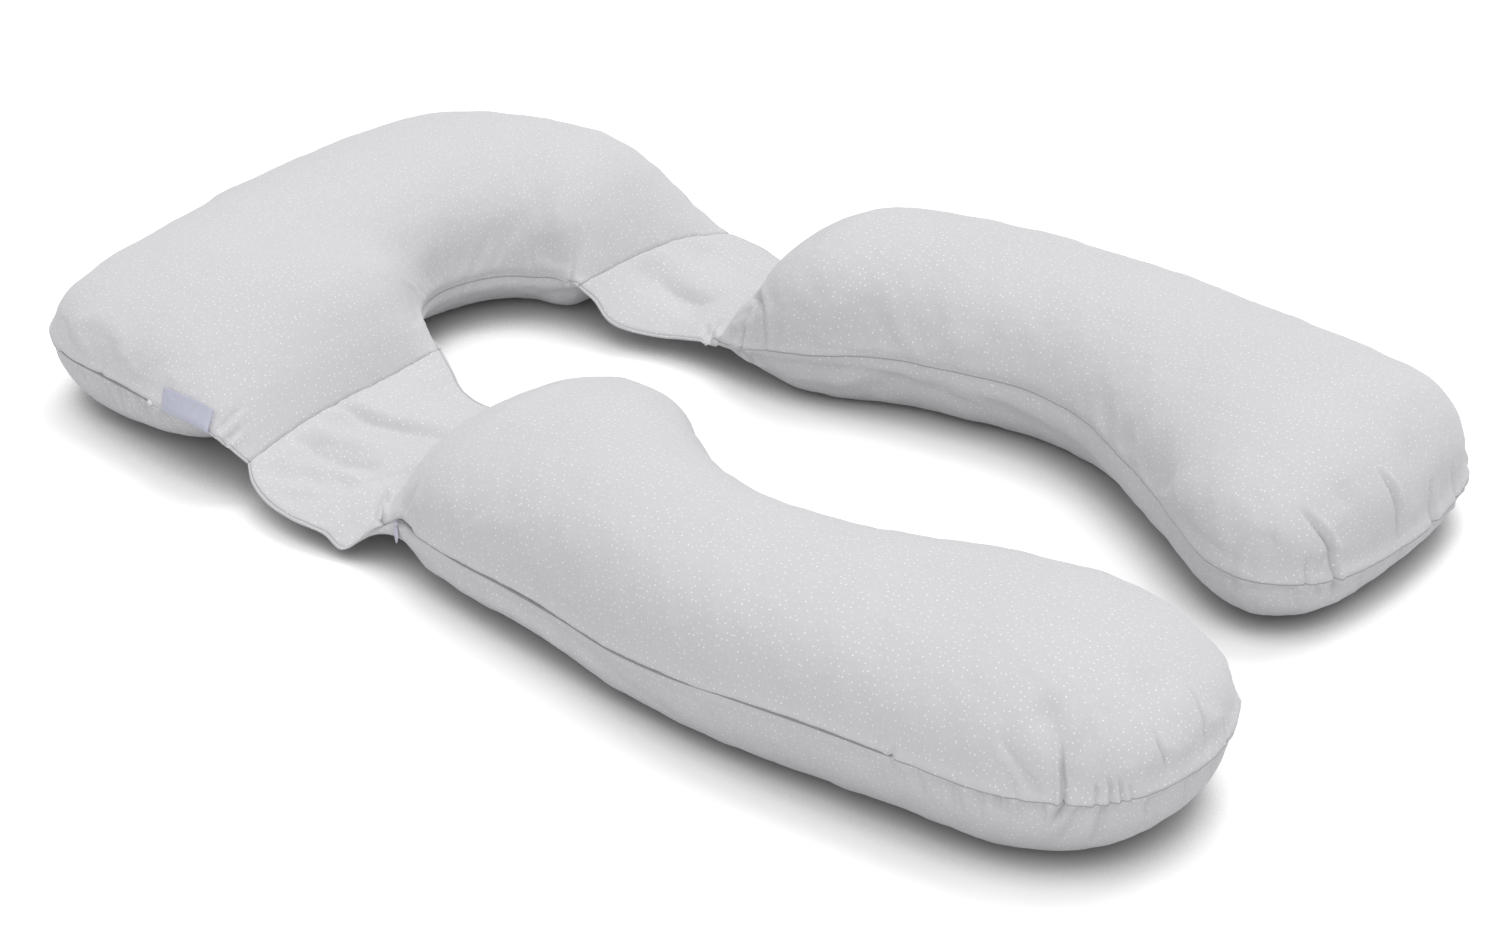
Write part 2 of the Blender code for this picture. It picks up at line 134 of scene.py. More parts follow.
RIGHT_ARM = np.array([
    (0.290, 0.288, 0.042, 0.098, 0.310, 0.052, 0.060, 0.060),
    (0.302, 0.268, 0.034, 0.102, 0.295, 0.042, 0.054, 0.090),
    (0.308, 0.242, 0.024, 0.098, 0.270, 0.028, 0.048, 0.115),
    (0.308, 0.213, 0.020, 0.110, 0.235, 0.022, 0.046, 0.128),
    (0.306, 0.185, 0.024, 0.120, 0.200, 0.026, 0.048, 0.134),
    (0.308, 0.155, 0.036, 0.122, 0.165, 0.034, 0.052, 0.140),
    (0.318, 0.125, 0.054, 0.113, 0.128, 0.044, 0.058, 0.146),
    (0.335, 0.090, 0.064, 0.113, 0.088, 0.055, 0.062, 0.151),
    (0.358, 0.042, 0.070, 0.122, 0.050, 0.061, 0.066, 0.153),
    (0.381, -0.025, 0.072, 0.153, -0.018, 0.068, 0.070, 0.150),
    (0.395, -0.095, 0.072, 0.170, -0.088, 0.071, 0.072, 0.147),
    (0.400, -0.165, 0.072, 0.183, -0.148, 0.072, 0.072, 0.146),
    (0.400, -0.238, 0.072, 0.177, -0.215, 0.072, 0.072, 0.148),
    (0.401, -0.312, 0.070, 0.145, -0.285, 0.072, 0.072, 0.152),
    (0.399, -0.382, 0.064, 0.110, -0.350, 0.071, 0.070, 0.156),
    (0.394, -0.442, 0.058, 0.071, -0.409, 0.070, 0.066, 0.158),
])
RIGHT_FOOT = np.array([
    (0.382, -0.485, 0.052),
    (0.355, -0.515, 0.047),
    (0.310, -0.533, 0.046),
    (0.257, -0.543, 0.046),
    (0.204, -0.548, 0.048),
    (0.148, -0.547, 0.051),
    (0.109, -0.543, 0.056),
    (0.072, -0.528, 0.062),
    (0.048, -0.498, 0.066),
    (0.047, -0.458, 0.069),
])
HEAD = np.array([
    (-0.325, 0.316, 0.037, -0.073, 0.322, 0.050, 0.050, 0.136),
    (-0.339, 0.348, 0.062, -0.071, 0.333, 0.053, 0.058, 0.137),
    (-0.343, 0.395, 0.068, -0.067, 0.345, 0.056, 0.062, 0.138),
    (-0.339, 0.442, 0.068, -0.059, 0.359, 0.056, 0.064, 0.139),
    (-0.334, 0.494, 0.067, -0.048, 0.373, 0.054, 0.064, 0.140),
    (-0.328, 0.550, 0.067, -0.034, 0.385, 0.051, 0.064, 0.140),
    (-0.305, 0.594, 0.068, -0.020, 0.395, 0.049, 0.064, 0.140),
    (-0.250, 0.613, 0.069, -0.005, 0.402, 0.047, 0.064, 0.140),
    (-0.178, 0.623, 0.070, 0.009, 0.405, 0.047, 0.064, 0.141),
    (-0.102, 0.632, 0.070, 0.022, 0.405, 0.047, 0.064, 0.141),
    (-0.022, 0.638, 0.070, 0.035, 0.403, 0.047, 0.064, 0.141),
    (0.058, 0.638, 0.070, 0.048, 0.399, 0.047, 0.064, 0.141),
    (0.132, 0.628, 0.070, 0.060, 0.393, 0.047, 0.064, 0.142),
    (0.193, 0.608, 0.070, 0.072, 0.386, 0.047, 0.064, 0.142),
    (0.238, 0.575, 0.070, 0.083, 0.376, 0.047, 0.064, 0.141),
    (0.266, 0.528, 0.070, 0.091, 0.364, 0.047, 0.064, 0.139),
    (0.281, 0.470, 0.070, 0.096, 0.351, 0.049, 0.062, 0.138),
    (0.289, 0.408, 0.066, 0.099, 0.338, 0.051, 0.060, 0.138),
    (0.292, 0.348, 0.055, 0.099, 0.324, 0.052, 0.060, 0.140),
    (0.290, 0.288, 0.042, 0.098, 0.310, 0.052, 0.060, 0.142),
])

# %% [markdown]
# The wide folds are the ones that the solids have too: hollows along lines in plan, where the
# unfilled neck sags and where the shoulder pushes it together.

# %% Wide folds: x0, y0, x1, y1, depth, half width
LEFT_FOLDS = (
    (-0.229, 0.302, -0.200, 0.240, 0.012, 0.016),
    (-0.200, 0.240, -0.142, 0.199, 0.012, 0.018),
    (-0.272, 0.300, -0.268, 0.225, 0.008, 0.013),
    (-0.318, 0.290, -0.300, 0.225, 0.006, 0.012),
    (-0.345, 0.130, -0.258, 0.174, 0.010, 0.014),
    (-0.322, -0.575, -0.370, -0.635, 0.008, 0.012),
    (-0.237, -0.605, -0.262, -0.652, 0.005, 0.012),
)
RIGHT_FOLDS = (
    (0.172, 0.285, 0.160, 0.225, 0.010, 0.016),
    (0.240, 0.280, 0.232, 0.200, 0.008, 0.018),
    (0.172, 0.150, 0.108, 0.106, 0.009, 0.012),
    (0.143, -0.530, 0.084, -0.600, 0.008, 0.012),
    (0.243, -0.530, 0.179, -0.600, 0.007, 0.014),
)
HEAD_FOLDS = ((0.180, 0.345, 0.190, 0.390, 0.002, 0.016),)

# %% [markdown]
# Everything is carried along smooth curves.  A cubic through the stations gives a curve that
# passes each of them; the distance run along it says where a seam, a zip or a tuck lies.

# %% Curves through the stations


def spline(rows, knots, at):
    """Cubic through the rows at the knots; the slope at a row comes from its two neighbours."""
    slope = np.gradient(rows, knots, axis=0)
    place = np.clip(np.searchsorted(knots, at, side="right") - 1, 0, len(knots) - 2)
    step = (knots[place + 1] - knots[place])[:, None]
    s = (at - knots[place])[:, None] / step
    start = rows[place] * (2 * s**3 - 3 * s**2 + 1) + slope[place] * step * (s**3 - 2 * s**2 + s)
    end = rows[place + 1] * (3 * s**2 - 2 * s**3) + slope[place + 1] * step * (s**3 - s**2)
    return start + end


def lengths(points, axis=0):
    """Distance run along a row of points: the sum of the steps so far."""
    steps = np.linalg.norm(np.diff(points, axis=axis), axis=-1)
    zero = np.zeros_like(np.take(steps, [0], axis=axis))
    return np.concatenate([zero, np.cumsum(steps, axis=axis)], axis=axis)


def spine_knots(table):
    """Distance run in plan along the middle of the two seams."""
    return lengths((table[:, 0:2] + table[:, 3:5]) / 2)


def swell(distance, reach):
    """Quarter ellipse: 0 at the start, 1 from the reach on, steep at first."""
    share = np.clip(distance / reach, 0.0, 1.0)
    return np.sqrt(1.0 - (1.0 - share) ** 2)


def spread(total, count, spots):
    """Places from 0 to total, closer together round each spot (centre, half width, gain)."""
    fine = np.linspace(0.0, total, 4000)
    density = 1.0 + sum(gain * np.exp(-(((fine - centre) / half) ** 2)) for centre, half, gain in spots)
    run = np.concatenate([[0.0], np.cumsum((density[1:] + density[:-1]) / 2)])
    return np.interp(np.linspace(0.0, run[-1], count + 1), run, fine)


print("spines in mm:", [round(1000 * spine_knots(t)[-1]) for t in (LEFT_ARM, RIGHT_ARM, HEAD)])

# %% [markdown]
# One half of a pouch runs from the seam to the spine.  On top it climbs as a quarter ellipse to
# the crown, below it rolls under to a flat resting patch.  Where the fill is 0 the same surface
# is one layer of the flat neck, so the shoulder can swell out of the neck without a break.

# %% Half a pouch
TOP_COLUMNS = 62
UNDER_COLUMNS = 34
EDGE_ROUND = 0.0030
END_ROUND = 0.0009
EDGE_LINE = 0.0042
HOLLOW_FADE = 0.030
END_LINE = 0.0006


def hollows(x, y, folds):
    """Depth of the wide folds at plan points: a bell across each fold line, the deepest wins."""
    depth = np.zeros_like(x)
    for x0, y0, x1, y1, deep, half in folds:
        run = np.array([x1 - x0, y1 - y0])
        share = np.clip(((x - x0) * run[0] + (y - y0) * run[1]) / (run @ run), 0.0, 1.0)
        far = np.hypot(x - x0 - share * run[0], y - y0 - share * run[1])
        depth = np.maximum(depth, deep * np.exp(-((far / half) ** 2)))
    return depth


def half_pouch(seam, spine, fill, sheet, crown, from_end, share, folds, layer):
    """Half a pouch: share 0 is the seam, 1 the spine.  The width runs as 1 - cos and the height
    as sin of a quarter turn where it is filled, and as a level sheet where it is not."""
    fill = fill[:, None]
    turn = share[None, :] * np.pi / 2
    even = np.broadcast_to(share[None, :], (len(seam), len(share)))
    base = seam[:, 2:3] + (spine[:, 2:3] - seam[:, 2:3]) * np.sin(turn) ** 2
    middle = base + (sheet[:, None] - base) * (1 - fill) * np.sin(turn)
    width = np.linalg.norm(seam[:, 0:2] - spine[:, 0:2], axis=1)[:, None]
    half_pair = CLOTH_PAIR / 2 * swell(even * width, EDGE_ROUND) * swell(from_end, END_ROUND)[:, None]
    if layer > 0:
        across = even * (1 - fill) + (1 - np.cos(turn)) * fill
    else:
        roll = np.clip(share / (2 / 3), 0, 1) * np.pi / 2
        flat = np.clip((share - 2 / 3) * 3, 0, 1)
        curved = FLAT_SHARE * (1 - np.cos(roll)) + (1 - FLAT_SHARE) * flat
        across = even * (1 - fill) + curved[None, :] * fill
    x = seam[:, 0:1] + (spine[:, 0:1] - seam[:, 0:1]) * across
    y = seam[:, 1:2] + (spine[:, 1:2] - seam[:, 1:2]) * across
    near_end = np.clip(from_end / HOLLOW_FADE, 0.0, 1.0)[:, None]
    hollow = hollows(x, y, folds) * np.sin(turn) ** 0.5 * near_end**2 * (3 - 2 * near_end)
    if layer > 0:
        level = middle + half_pair
        z = level + (crown[:, None] - level) * fill * np.sin(turn) ** FULLNESS - hollow
    else:
        level = middle - half_pair - hollow * (1 - fill)
        z = np.maximum(level, FLOOR_CLEARANCE) * (1 - fill * np.sin(roll)[None, :])
    return np.stack([x, y, z], axis=2)


def column_shares(layer):
    """Shares of the columns, closer together at the seam on top."""
    if layer > 0:
        return np.linspace(0.0, 1.0, TOP_COLUMNS + 1) ** 1.25
    return np.linspace(0.0, 1.0, UNDER_COLUMNS + 1) ** 1.1


# %% [markdown]
# A grid remembers more than its points: how far along the outline seam each point is, how far
# in from the seam, how full the cushion is there, and where it lay on the flat cloth.  The seams
# and tucks use the first three, the printed dots use the last.

# %% Grids with their sewing coordinates


def laid_out(spine, points):
    """The spine as it lies on the flat cloth: it keeps each heading in plan, but every step is
    as long as the cloth is there, the mean step between the two cross-sections."""
    step = np.diff(spine[:, 0:2], axis=0)
    long = np.linalg.norm(step, axis=1)[:, None]
    cloth = np.linalg.norm(np.diff(points, axis=0), axis=2)[:, points.shape[1] // 2 :].mean(axis=1)
    flat = np.where(long > 1e-9, step / np.maximum(long, 1e-9) * cloth[:, None], 0.0)
    return spine[:1, 0:2] + np.concatenate([np.zeros((1, 2)), np.cumsum(flat, axis=0)])


def grid(points, seam_run, fill, from_end, spine, layer, flat_spine):
    """One patch of skin with its sewing coordinates; uv is the spine point plus the direction
    to the seam times the length of cloth between them."""
    inward = lengths(points, axis=1)
    toward = points[:, 0, 0:2] - spine[:, 0:2]
    toward /= np.linalg.norm(toward, axis=1)[:, None]
    cloth = inward[:, -1:] - inward
    uv = flat_spine[:, None, :] + toward[:, None, :] * cloth[:, :, None]
    if layer < 0:
        uv = uv + np.array([1.3, 0.7])
    ones = np.ones(points.shape[:2])
    edge = EDGE_LINE * (1 - fill[:, None]) * (layer > 0)
    from_seam = np.minimum(np.abs(inward - edge), from_end[:, None] + END_LINE)
    sewing = np.stack([seam_run[:, None] * ones, from_seam], axis=2)
    return {
        "points": points,
        "uv": uv,
        "sewing": sewing,
        "along": seam_run[:, None] * ones,
        "inward": inward,
        "fill": fill[:, None] * ones,
        "from_end": from_end[:, None] * ones,
        "layer": layer * ones,
    }


def body_grids(table, at, fill, from_end, folds, layer, start=0.0, back=0.0):
    """Outer and inner halves between the two seams; start and back are where their seams lie
    on the run round the whole outline."""
    found = spline(table, spine_knots(table), at)
    outer = found[:, 0:3]
    inner = found[:, 3:6]
    spine = (outer + inner) / 2
    share = column_shares(layer)
    heights = found[:, 6], found[:, 7]
    first = half_pouch(outer, spine, fill, *heights, from_end, share, folds, layer)
    second = half_pouch(inner, spine, fill, *heights, from_end, share, folds, layer)
    flat = laid_out(spine, first)
    flat = flat + (spine[-1, 0:2] - flat[-1])
    return [
        grid(first, start + lengths(outer), fill, from_end, spine, layer, flat),
        grid(second, back - lengths(inner), fill, from_end, spine, layer, flat),
    ]


def foot_seam(table, foot, count, spots):
    """Points of the seam round a foot, from the outer to the inner side of the last station."""
    path = np.vstack([table[-3:, 0:3], foot, table[:-4:-1, 3:6]])
    knots = lengths(path)
    at = knots[2] + spread(knots[-3] - knots[2], count, spots)
    return spline(path, knots, at)


def foot_grid(table, seam, folds, layer, start):
    """Fan of half sections round the foot, all from the last spine point of the arm."""
    many = np.ones(len(seam))
    last = table[-1]
    spine = ((last[0:3] + last[3:6]) / 2)[None, :].repeat(len(seam), axis=0)
    far = many * 9.0
    shape = half_pouch(seam, spine, many, last[6] * many, last[7] * many, far, column_shares(layer), folds, layer)
    return grid(shape, start + lengths(seam), many, far, spine, layer, spine[:, 0:2])


# %% [markdown]
# The grids are sewn into one skin: points that lie in the same place become one, so the skin is
# closed round the whole outline.  Cells that close up to a point, as at the middle of the foot's
# fan, become triangles.

# %% Sew grids into one skin
SAME_PLACE = 0.00002


def corners_of(shape):
    """Corner numbers of every cell of a grid, as rows of four."""
    number = np.arange(shape[0] * shape[1]).reshape(shape)
    return np.stack([number[:-1, :-1], number[:-1, 1:], number[1:, 1:], number[1:, :-1]], axis=-1).reshape(-1, 4)


def sew(grids):
    """One closed skin: welded points with their sewing coordinates, and cells with uv."""
    loose = {key: np.concatenate([g[key].reshape(-1, *g[key].shape[2:]) for g in grids]) for key in grids[0]}
    points = loose["points"]
    keys = np.round(points / SAME_PLACE).astype(np.int64)
    _, first, number = np.unique(keys, axis=0, return_index=True, return_inverse=True)
    number = number.reshape(-1)
    cells = []
    start = 0
    for g in grids:
        ring = corners_of(g["points"].shape[:2]) + start
        start += g["along"].size
        face = np.cross(points[ring[:, 2]] - points[ring[:, 0]], points[ring[:, 3]] - points[ring[:, 1]])
        if face[:, 2].sum() * g["layer"][0, 0] < 0:
            ring = ring[:, ::-1]
        cells.append(ring)
    cells = np.concatenate(cells)
    welded = number[cells]
    shut = welded == np.roll(welded, -1, axis=1)
    quads = [cells[shut.sum(axis=1) == 0]]
    threes = [np.delete(cells[shut[:, k] & (shut.sum(axis=1) == 1)], k, axis=1) for k in range(4)]
    skin = {key: value[first] for key, value in loose.items() if key not in ("uv", "sewing")}
    skin["quads"] = number[quads[0]]
    skin["threes"] = number[np.concatenate(threes)]
    corners = np.concatenate([quads[0].reshape(-1), np.concatenate(threes).reshape(-1)])
    skin["maps"] = {"cloth": loose["uv"][corners], "sewing": loose["sewing"][corners]}
    skin["number"] = number
    return skin


def mesh_from(name, points, quads, threes, maps=None):
    """A mesh of four- and three-sided cells, stored in one go, with its uv maps."""
    mesh = bpy.data.meshes.new(name)
    loops = np.concatenate([quads.reshape(-1), threes.reshape(-1)]).astype(np.int32)
    starts = np.concatenate([np.arange(len(quads)) * 4, len(quads) * 4 + np.arange(len(threes)) * 3])
    mesh.vertices.add(len(points))
    mesh.vertices.foreach_set("co", np.ascontiguousarray(points, dtype=np.float32).reshape(-1))
    mesh.loops.add(len(loops))
    mesh.loops.foreach_set("vertex_index", loops)
    mesh.polygons.add(len(starts))
    mesh.polygons.foreach_set("loop_start", starts.astype(np.int32))
    mesh.update(calc_edges=True)
    for title, flat in (maps or {}).items():
        layer = mesh.uv_layers.new(name=title)
        layer.data.foreach_set("uv", np.ascontiguousarray(flat, dtype=np.float32).reshape(-1))
    mesh.shade_smooth()
    mesh.validate()
    return mesh


def show(name, mesh, material):
    """An object at the origin with one finish, riding on the pillow's one body."""
    thing = bpy.data.objects.new(name, mesh)
    mesh.materials.append(material)
    bpy.context.scene.collection.objects.link(thing)
    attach(thing, "root")
    return thing


def outward(points, quads, threes):
    """Unit normals at the points: the sum of the area normals of the cells round each."""
    normal = np.zeros_like(points)
    faces = ((quads, (0, 2, 1, 3)), (threes, (0, 1, 0, 2)))
    for cells, (a, b, c, d) in faces:
        face = np.cross(points[cells[:, b]] - points[cells[:, a]], points[cells[:, d]] - points[cells[:, c]])
        for k in range(cells.shape[1]):
            np.add.at(normal, cells[:, k], face)
    return normal / np.maximum(np.linalg.norm(normal, axis=1), 1e-12)[:, None]


# %% [markdown]
# A stuffed cover is a balloon of cloth whose seams were sewn a little short.  So a coarse copy of
# each skin is blown up by a cloth simulation while its seams shrink: that gives the broad dents
# and gathers beside the seams.  The even swelling is taken out again, so that the outline stays.

# %% Blow up a coarse copy
BLOW_ROWS = 4
BLOW_COLUMNS = 3
BLOW_FRAMES = 16
BLOW_PRESSURE = 4.0
SEAM_SHRINK = 0.09
DRAWN_BAND = 0.014
SWELLING_KEPT = 0.10
DENT_CAP = 0.0045
DENT_GAIN = 0.75
DENT_REACH = 0.045
LABEL_SPOT = (-0.340, 0.372, 0.035)


def every(count, step):
    """Numbers of the rows that a coarse grid keeps: every so many, and the last one."""
    return np.unique(np.append(np.arange(0, count, step), count - 1))


def neighbours(skin):
    """Pairs of points joined by an edge of a cell."""
    quads, threes = skin["quads"], skin["threes"]
    pairs = [quads[:, [k, (k + 1) % 4]] for k in range(4)] + [threes[:, [k, (k + 1) % 3]] for k in range(3)]
    return np.concatenate(pairs)


def smoothed(values, pairs, rounds):
    """Every round each point goes halfway to the mean of its neighbours."""
    count = len(values)
    a, b = pairs[:, 0], pairs[:, 1]
    joined = np.maximum(np.bincount(pairs.reshape(-1), minlength=count), 1)
    for _ in range(rounds):
        mean = [(np.bincount(a, values[b, k], count) + np.bincount(b, values[a, k], count)) / joined for k in range(3)]
        values = (values + np.stack(mean, axis=1)) / 2
    return values


def blown(coarse):
    """The coarse skin after the simulation: held on the neck and on the floor, drawn in at the seam."""
    mesh = mesh_from("balloon", coarse["points"], coarse["quads"], coarse["threes"])
    balloon = bpy.data.objects.new("balloon", mesh)
    bpy.context.scene.collection.objects.link(balloon)
    held = balloon.vertex_groups.new(name="held")
    drawn = balloon.vertex_groups.new(name="drawn")
    still = (coarse["fill"] < 0.25) | (coarse["points"][:, 2] < 0.003)
    held.add(np.flatnonzero(still).tolist(), 1.0, "ADD")
    drawn.add(np.flatnonzero(coarse["inward"] < DRAWN_BAND).tolist(), 1.0, "ADD")
    cloth = balloon.modifiers.new("cloth", "CLOTH")
    cloth.settings.quality = 5
    cloth.settings.mass = 0.15
    cloth.settings.tension_stiffness = 25.0
    cloth.settings.compression_stiffness = 25.0
    cloth.settings.shear_stiffness = 8.0
    cloth.settings.bending_stiffness = 0.2
    cloth.settings.vertex_group_mass = "held"
    cloth.settings.use_pressure = True
    cloth.settings.uniform_pressure_force = BLOW_PRESSURE
    cloth.settings.vertex_group_shrink = "drawn"
    cloth.settings.shrink_min = 0.0
    cloth.settings.shrink_max = SEAM_SHRINK
    cloth.settings.effector_weights.gravity = 0.0
    cloth.point_cache.frame_end = BLOW_FRAMES
    for frame_number in range(1, BLOW_FRAMES + 1):
        bpy.context.scene.frame_set(frame_number)
    seen = balloon.evaluated_get(bpy.context.evaluated_depsgraph_get())
    found = np.empty(len(mesh.vertices) * 3, dtype=np.float32)
    seen.data.vertices.foreach_get("co", found)
    bpy.data.objects.remove(balloon)
    bpy.context.scene.frame_set(1)
    return found.reshape(-1, 3).astype(float)


def finer(values, rows, columns, shape):
    """Values of a coarse grid on the full grid, by smooth curves down the rows and then across."""
    down = spline(values.reshape(len(rows), -1), rows * 1.0, np.arange(shape[0]) * 1.0)
    turned = down.reshape(shape[0], len(columns), 3).transpose(1, 0, 2).reshape(len(columns), -1)
    across = spline(turned, columns * 1.0, np.arange(shape[1]) * 1.0)
    return across.reshape(shape[1], shape[0], 3).transpose(1, 0, 2)


def add_dents(skin, grids):
    """Adds the dents of the blown-up copy to the full skin; seams, neck and label stay put."""
    kept = [(every(g["along"].shape[0], BLOW_ROWS), every(g["along"].shape[1], BLOW_COLUMNS)) for g in grids]
    small = [{key: value[rows][:, columns] for key, value in g.items()} for g, (rows, columns) in zip(grids, kept)]
    coarse = sew(small)
    move = blown(coarse) - coarse["points"]
    swelling = smoothed(move, neighbours(coarse), 90)
    dents = move - (1 - SWELLING_KEPT) * swelling
    loose = []
    start = 0
    for g, part, (rows, columns) in zip(grids, small, kept):
        numbers = coarse["number"][start : start + part["along"].size]
        start += part["along"].size
        loose.append(finer(dents[numbers].reshape(len(rows), len(columns), 3), rows, columns, g["along"].shape).reshape(-1, 3))
    full = np.zeros_like(skin["points"])
    full[skin["number"]] = np.concatenate(loose)
    full = smoothed(full * DENT_GAIN, neighbours(skin), 6)
    long = np.linalg.norm(full, axis=1)
    full *= np.minimum(1.0, DENT_CAP / np.maximum(long, 1e-9))[:, None]
    x, y, wide = LABEL_SPOT
    points = skin["points"]
    from_label = ((points[:, 0] - x) ** 2 + (points[:, 1] - y) ** 2) / wide**2
    fade = np.clip(skin["fill"] * 1.5 - 0.2, 0, 1) * (1 - np.exp(-((skin["inward"] / 0.008) ** 2)))
    fade = fade * np.clip((skin["from_end"] - 0.01) / 0.04, 0, 1) * (1 - np.exp(-from_label))
    fade = fade * np.exp(-((skin["inward"] / DENT_REACH) ** 2))
    skin["points"] = points + full * fade[:, None]
    print("swelling", round(1000 * float(np.linalg.norm(swelling, axis=1).mean()), 2), "mm, dents",
          round(1000 * float(np.linalg.norm(full, axis=1).mean()), 2), "mm on average")


# %% [markdown]
# Cloth is never even.  Three things shape it: soft waves over the filling, small puckers where a
# seam draws it in, and tucks where a long edge was sewn round a tight curve.  Each is a height
# along the normal.  Waves are sums of sine waves, puckers are smoothed random steps along the
# seam, and a tuck is a narrow bell across a bent line with a raised lip on one side.

# %% Waves, puckers and the seam groove
SEAM_RIDGE = 0.0016
RIDGE_REACH = 0.0060
SEAM_GROOVE = 0.0012
SEAM_HALF = 0.0011
WAVE_HEIGHT = 0.0011


def waves(points, seed, longest=0.21, count=14):
    """Sum of sine waves with seeded directions, the shorter the lower, about -1 to 1."""
    draw = np.random.default_rng(seed)
    total = np.zeros(len(points))
    for k in range(count):
        length = longest * 0.86**k
        heading = draw.normal(size=3)
        heading /= np.linalg.norm(heading)
        phase = draw.uniform(0, 2 * np.pi)
        total += np.sin(points @ heading * 2 * np.pi / length + phase) * (length / longest) ** 0.8
    return total / 2.2


def steps(place, wavelength, seed):
    """Random heights at every wavelength with smooth slopes between them, from -1 to 1."""
    height = np.random.default_rng(seed).uniform(-1, 1, 4096)
    spot = place / wavelength + 64.0
    whole = np.floor(spot).astype(int)
    s = spot - whole
    s = s * s * (3 - 2 * s)
    return height[whole % 4096] * (1 - s) + height[(whole + 1) % 4096] * s


def puckers(along, inward, seed, strength, reach=0.016):
    """Fine gathers beside a seam: sharp valleys across it that fade with the distance in."""
    bent = along + 0.004 * steps(inward, 0.012, seed + 5)
    rough = steps(bent, 0.0062, seed) + 0.9 * steps(bent, 0.0115, seed + 1) + 0.7 * steps(bent, 0.021, seed + 2)
    rough = 0.55 * rough - 0.30 * np.abs(rough)
    fade = (1 - np.exp(-inward / 0.0018)) * np.exp(-inward / reach)
    return strength * rough * fade


# %% [markdown]
# The tucks and creases of this cover, read off the photograph.  A tuck starts on the seam next
# to a plan point and runs in over the cushion; a crease lies freely on the flat neck, along a
# bent line through three plan points.

# %% Tucks and gathers of each piece
# layer, seam x, seam y, start in, length, slant, bend, depth, half width, lip
LEFT_TUCKS = (
    (1, -0.343, -0.607, 0.000, 0.050, -0.004, 0.008, 0.0066, 0.0018, 0.9),
    (1, -0.343, -0.607, 0.010, 0.060, 0.020, 0.016, 0.0030, 0.0085, 0.2),
    (1, -0.352, -0.593, 0.004, 0.044, -0.030, -0.006, 0.0034, 0.0042, 1.3),
    (1, -0.362, -0.575, 0.002, 0.026, -0.012, 0.0, 0.0016, 0.0036, 0.8),
    (1, -0.327, -0.627, 0.001, 0.017, 0.001, 0.0, 0.0034, 0.0017, 0.8),
    (1, -0.318, -0.634, 0.001, 0.020, 0.002, 0.0, 0.0034, 0.0018, 0.8),
    (1, -0.309, -0.639, 0.001, 0.018, 0.001, 0.0, 0.0032, 0.0017, 0.8),
    (1, -0.301, -0.643, 0.001, 0.013, 0.001, 0.0, 0.0026, 0.0017, 0.8),
    (1, -0.266, -0.654, 0.009, 0.038, -0.008, 0.004, 0.0040, 0.0018, 0.8),
    (1, -0.221, -0.654, 0.004, 0.066, 0.018, 0.004, 0.0040, 0.0022, 0.7),
    (1, -0.188, -0.649, 0.002, 0.018, 0.001, 0.0, 0.0024, 0.0024, 0.6),
    (1, -0.376, -0.466, 0.000, 0.012, 0.001, 0.0, 0.0030, 0.0016, 0.6),
    (-1, -0.341, -0.610, 0.000, 0.029, -0.014, 0.000, 0.0075, 0.0030, 0.8),
    (-1, -0.333, -0.620, 0.002, 0.055, -0.022, 0.006, 0.0054, 0.0060, 0.8),
    (-1, -0.318, -0.634, 0.001, 0.055, -0.006, 0.000, 0.0054, 0.0050, 0.8),
    (-1, -0.352, -0.594, 0.001, 0.029, 0.001, 0.000, 0.0039, 0.0030, 0.7),
    (-1, -0.360, -0.578, 0.001, 0.033, 0.002, 0.000, 0.0039, 0.0034, 0.7),
    (-1, -0.366, -0.562, 0.001, 0.026, 0.000, 0.000, 0.0036, 0.0030, 0.7),
    (-1, -0.370, -0.546, 0.001, 0.037, 0.002, 0.000, 0.0042, 0.0038, 0.7),
    (-1, -0.374, -0.520, 0.001, 0.031, 0.000, 0.000, 0.0033, 0.0038, 0.6),
    (-1, -0.378, -0.490, 0.001, 0.033, 0.001, 0.000, 0.0027, 0.0040, 0.6),
    (-1, -0.285, -0.648, 0.001, 0.033, 0.004, 0.000, 0.0036, 0.0040, 0.6),
    (-1, -0.240, -0.655, 0.001, 0.040, 0.002, 0.000, 0.0033, 0.0040, 0.6),
    (-1, -0.200, -0.652, 0.001, 0.033, 0.000, 0.000, 0.0030, 0.0040, 0.6),
    (1, -0.100, -0.570, 0.001, 0.030, 0.002, 0.0, 0.0022, 0.0030, 0.6),
    (1, -0.129, -0.617, 0.001, 0.036, 0.004, 0.0, 0.0026, 0.0032, 0.6),
    (1, -0.330, 0.125, 0.002, 0.040, 0.014, 0.0, 0.0036, 0.0040, 0.8),
    (1, -0.064, 0.120, 0.001, 0.034, 0.006, 0.0, 0.0030, 0.0040, 0.6),
    (1, -0.074, 0.160, 0.001, 0.040, 0.004, 0.0, 0.0030, 0.0045, 0.6),
)
